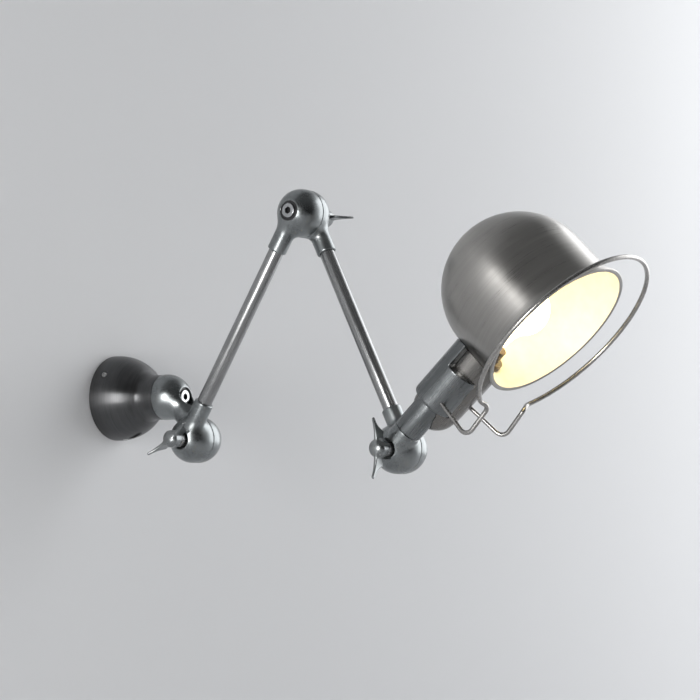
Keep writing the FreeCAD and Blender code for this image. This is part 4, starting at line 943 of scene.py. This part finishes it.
roomSet = {"wallColour": (0.66, 0.665, 0.675), "floorColour": (0.66, 0.66, 0.67), "floorHeight": -0.55,
           "reach": 4, "wallTop": 3, "roughness": 0.85, "grain": 300.0, "grainDepth": 0.15 * mm,
           "grainStrength": 0.4}


def plainSheet(name, corners, colour, oneSided):
    mesh = bpy.data.meshes.new(name)
    mesh.from_pydata(corners, [], [range(len(corners))])
    sheet = bpy.data.objects.new(name, mesh)
    bpy.context.scene.collection.objects.link(sheet)
    material, tree = newMaterial(name + "Paint")
    shader = tree.nodes["Principled BSDF"]
    shader.inputs["Base Color"].default_value = (*colour, 1.0)
    shader.inputs["Roughness"].default_value = roomSet["roughness"]
    grain = noise(tree, localPoint(tree), roomSet["grain"])
    bump = bumpNode(tree, grain, roomSet["grainDepth"], roomSet["grainStrength"])
    tree.links.new(bump, shader.inputs["Normal"])
    if oneSided:  # clear from behind, so that the lamp is seen from there
        clear = addNode(tree, "ShaderNodeBsdfTransparent").outputs[0]
        back = addNode(tree, "ShaderNodeNewGeometry").outputs["Backfacing"]
        mix = addNode(tree, "ShaderNodeMixShader", {0: back, 1: shader.outputs[0], 2: clear}).outputs[0]
        tree.links.new(mix, tree.nodes["Material Output"].inputs["Surface"])
    mesh.materials.append(material)


low, high, reach = roomSet["floorHeight"], roomSet["wallTop"], roomSet["reach"]
plainSheet("roomWall", [(0, -reach, low), (0, reach, low), (0, reach, high), (0, -reach, high)],
           roomSet["wallColour"], True)
floorCorners = [(-reach, -reach, low), (reach, -reach, low), (reach, reach, low), (-reach, reach, low)]
plainSheet("roomFloor", floorCorners, roomSet["floorColour"], False)

lightSet = {
    "windowLight": {"place": (1.05, 1.95, 0.6), "target": (0.0, 0.6, 0.0), "size": (1.9, 2.2), "power": 29.0,
                    "colour": (0.98, 0.99, 1.0)},
    "leftWindow": {"place": (0.72, -2.30, -0.10), "target": (0.3, 0, 0.03), "size": (0.55, 1.10),
                   "power": 38.0, "colour": (1.0, 0.995, 0.985)},
}


def areaLight(name, place, target, size, power, colour):
    data = bpy.data.lights.new(name, "AREA")
    data.shape = "RECTANGLE"
    data.size, data.size_y = size
    data.energy = power
    data.color = colour
    light = bpy.data.objects.new(name, data)
    bpy.context.scene.collection.objects.link(light)
    aim = (Vector(target) - Vector(place)).to_track_quat("-Z", "Y").to_matrix().to_4x4()
    light.matrix_world = Matrix.Translation(Vector(place)) @ aim


for name, values in lightSet.items():
    areaLight(name, **values)

roomLightSet = {"dark": 0.03, "side": 1.0, "sideWay": (0.42, 0.90, 0.10), "sideRange": (0.55, 0.85),
                "ceiling": 0.14, "ceilingRange": (0.15, 0.8), "tint": (0.97, 0.985, 1.0)}


def makeRoomLight(values):  # dim all round, paler overhead, and bright on the right
    world = bpy.data.worlds.new("roomLight")
    world.use_nodes = True
    tree = world.node_tree
    way = addNode(tree, "ShaderNodeTexCoord").outputs["Generated"]
    toSide = vectorNode(tree, "DOT_PRODUCT", {0: way, 1: values["sideWay"]}, "Value")
    height = addNode(tree, "ShaderNodeSeparateXYZ", {0: way}).outputs[2]
    side = rampNode(tree, toSide, *values["sideRange"], 0.0, values["side"])
    ceiling = rampNode(tree, height, *values["ceilingRange"], 0.0, values["ceiling"])
    strength = mathNode(tree, "ADD", mathNode(tree, "ADD", side, ceiling), values["dark"])
    background = tree.nodes["Background"]
    background.inputs["Color"].default_value = (*values["tint"], 1.0)
    tree.links.new(strength, background.inputs["Strength"])
    bpy.context.scene.world = world


makeRoomLight(roomLightSet)
bpy.context.scene.view_settings.view_transform = "Standard"
print("wall, floor and lights made")
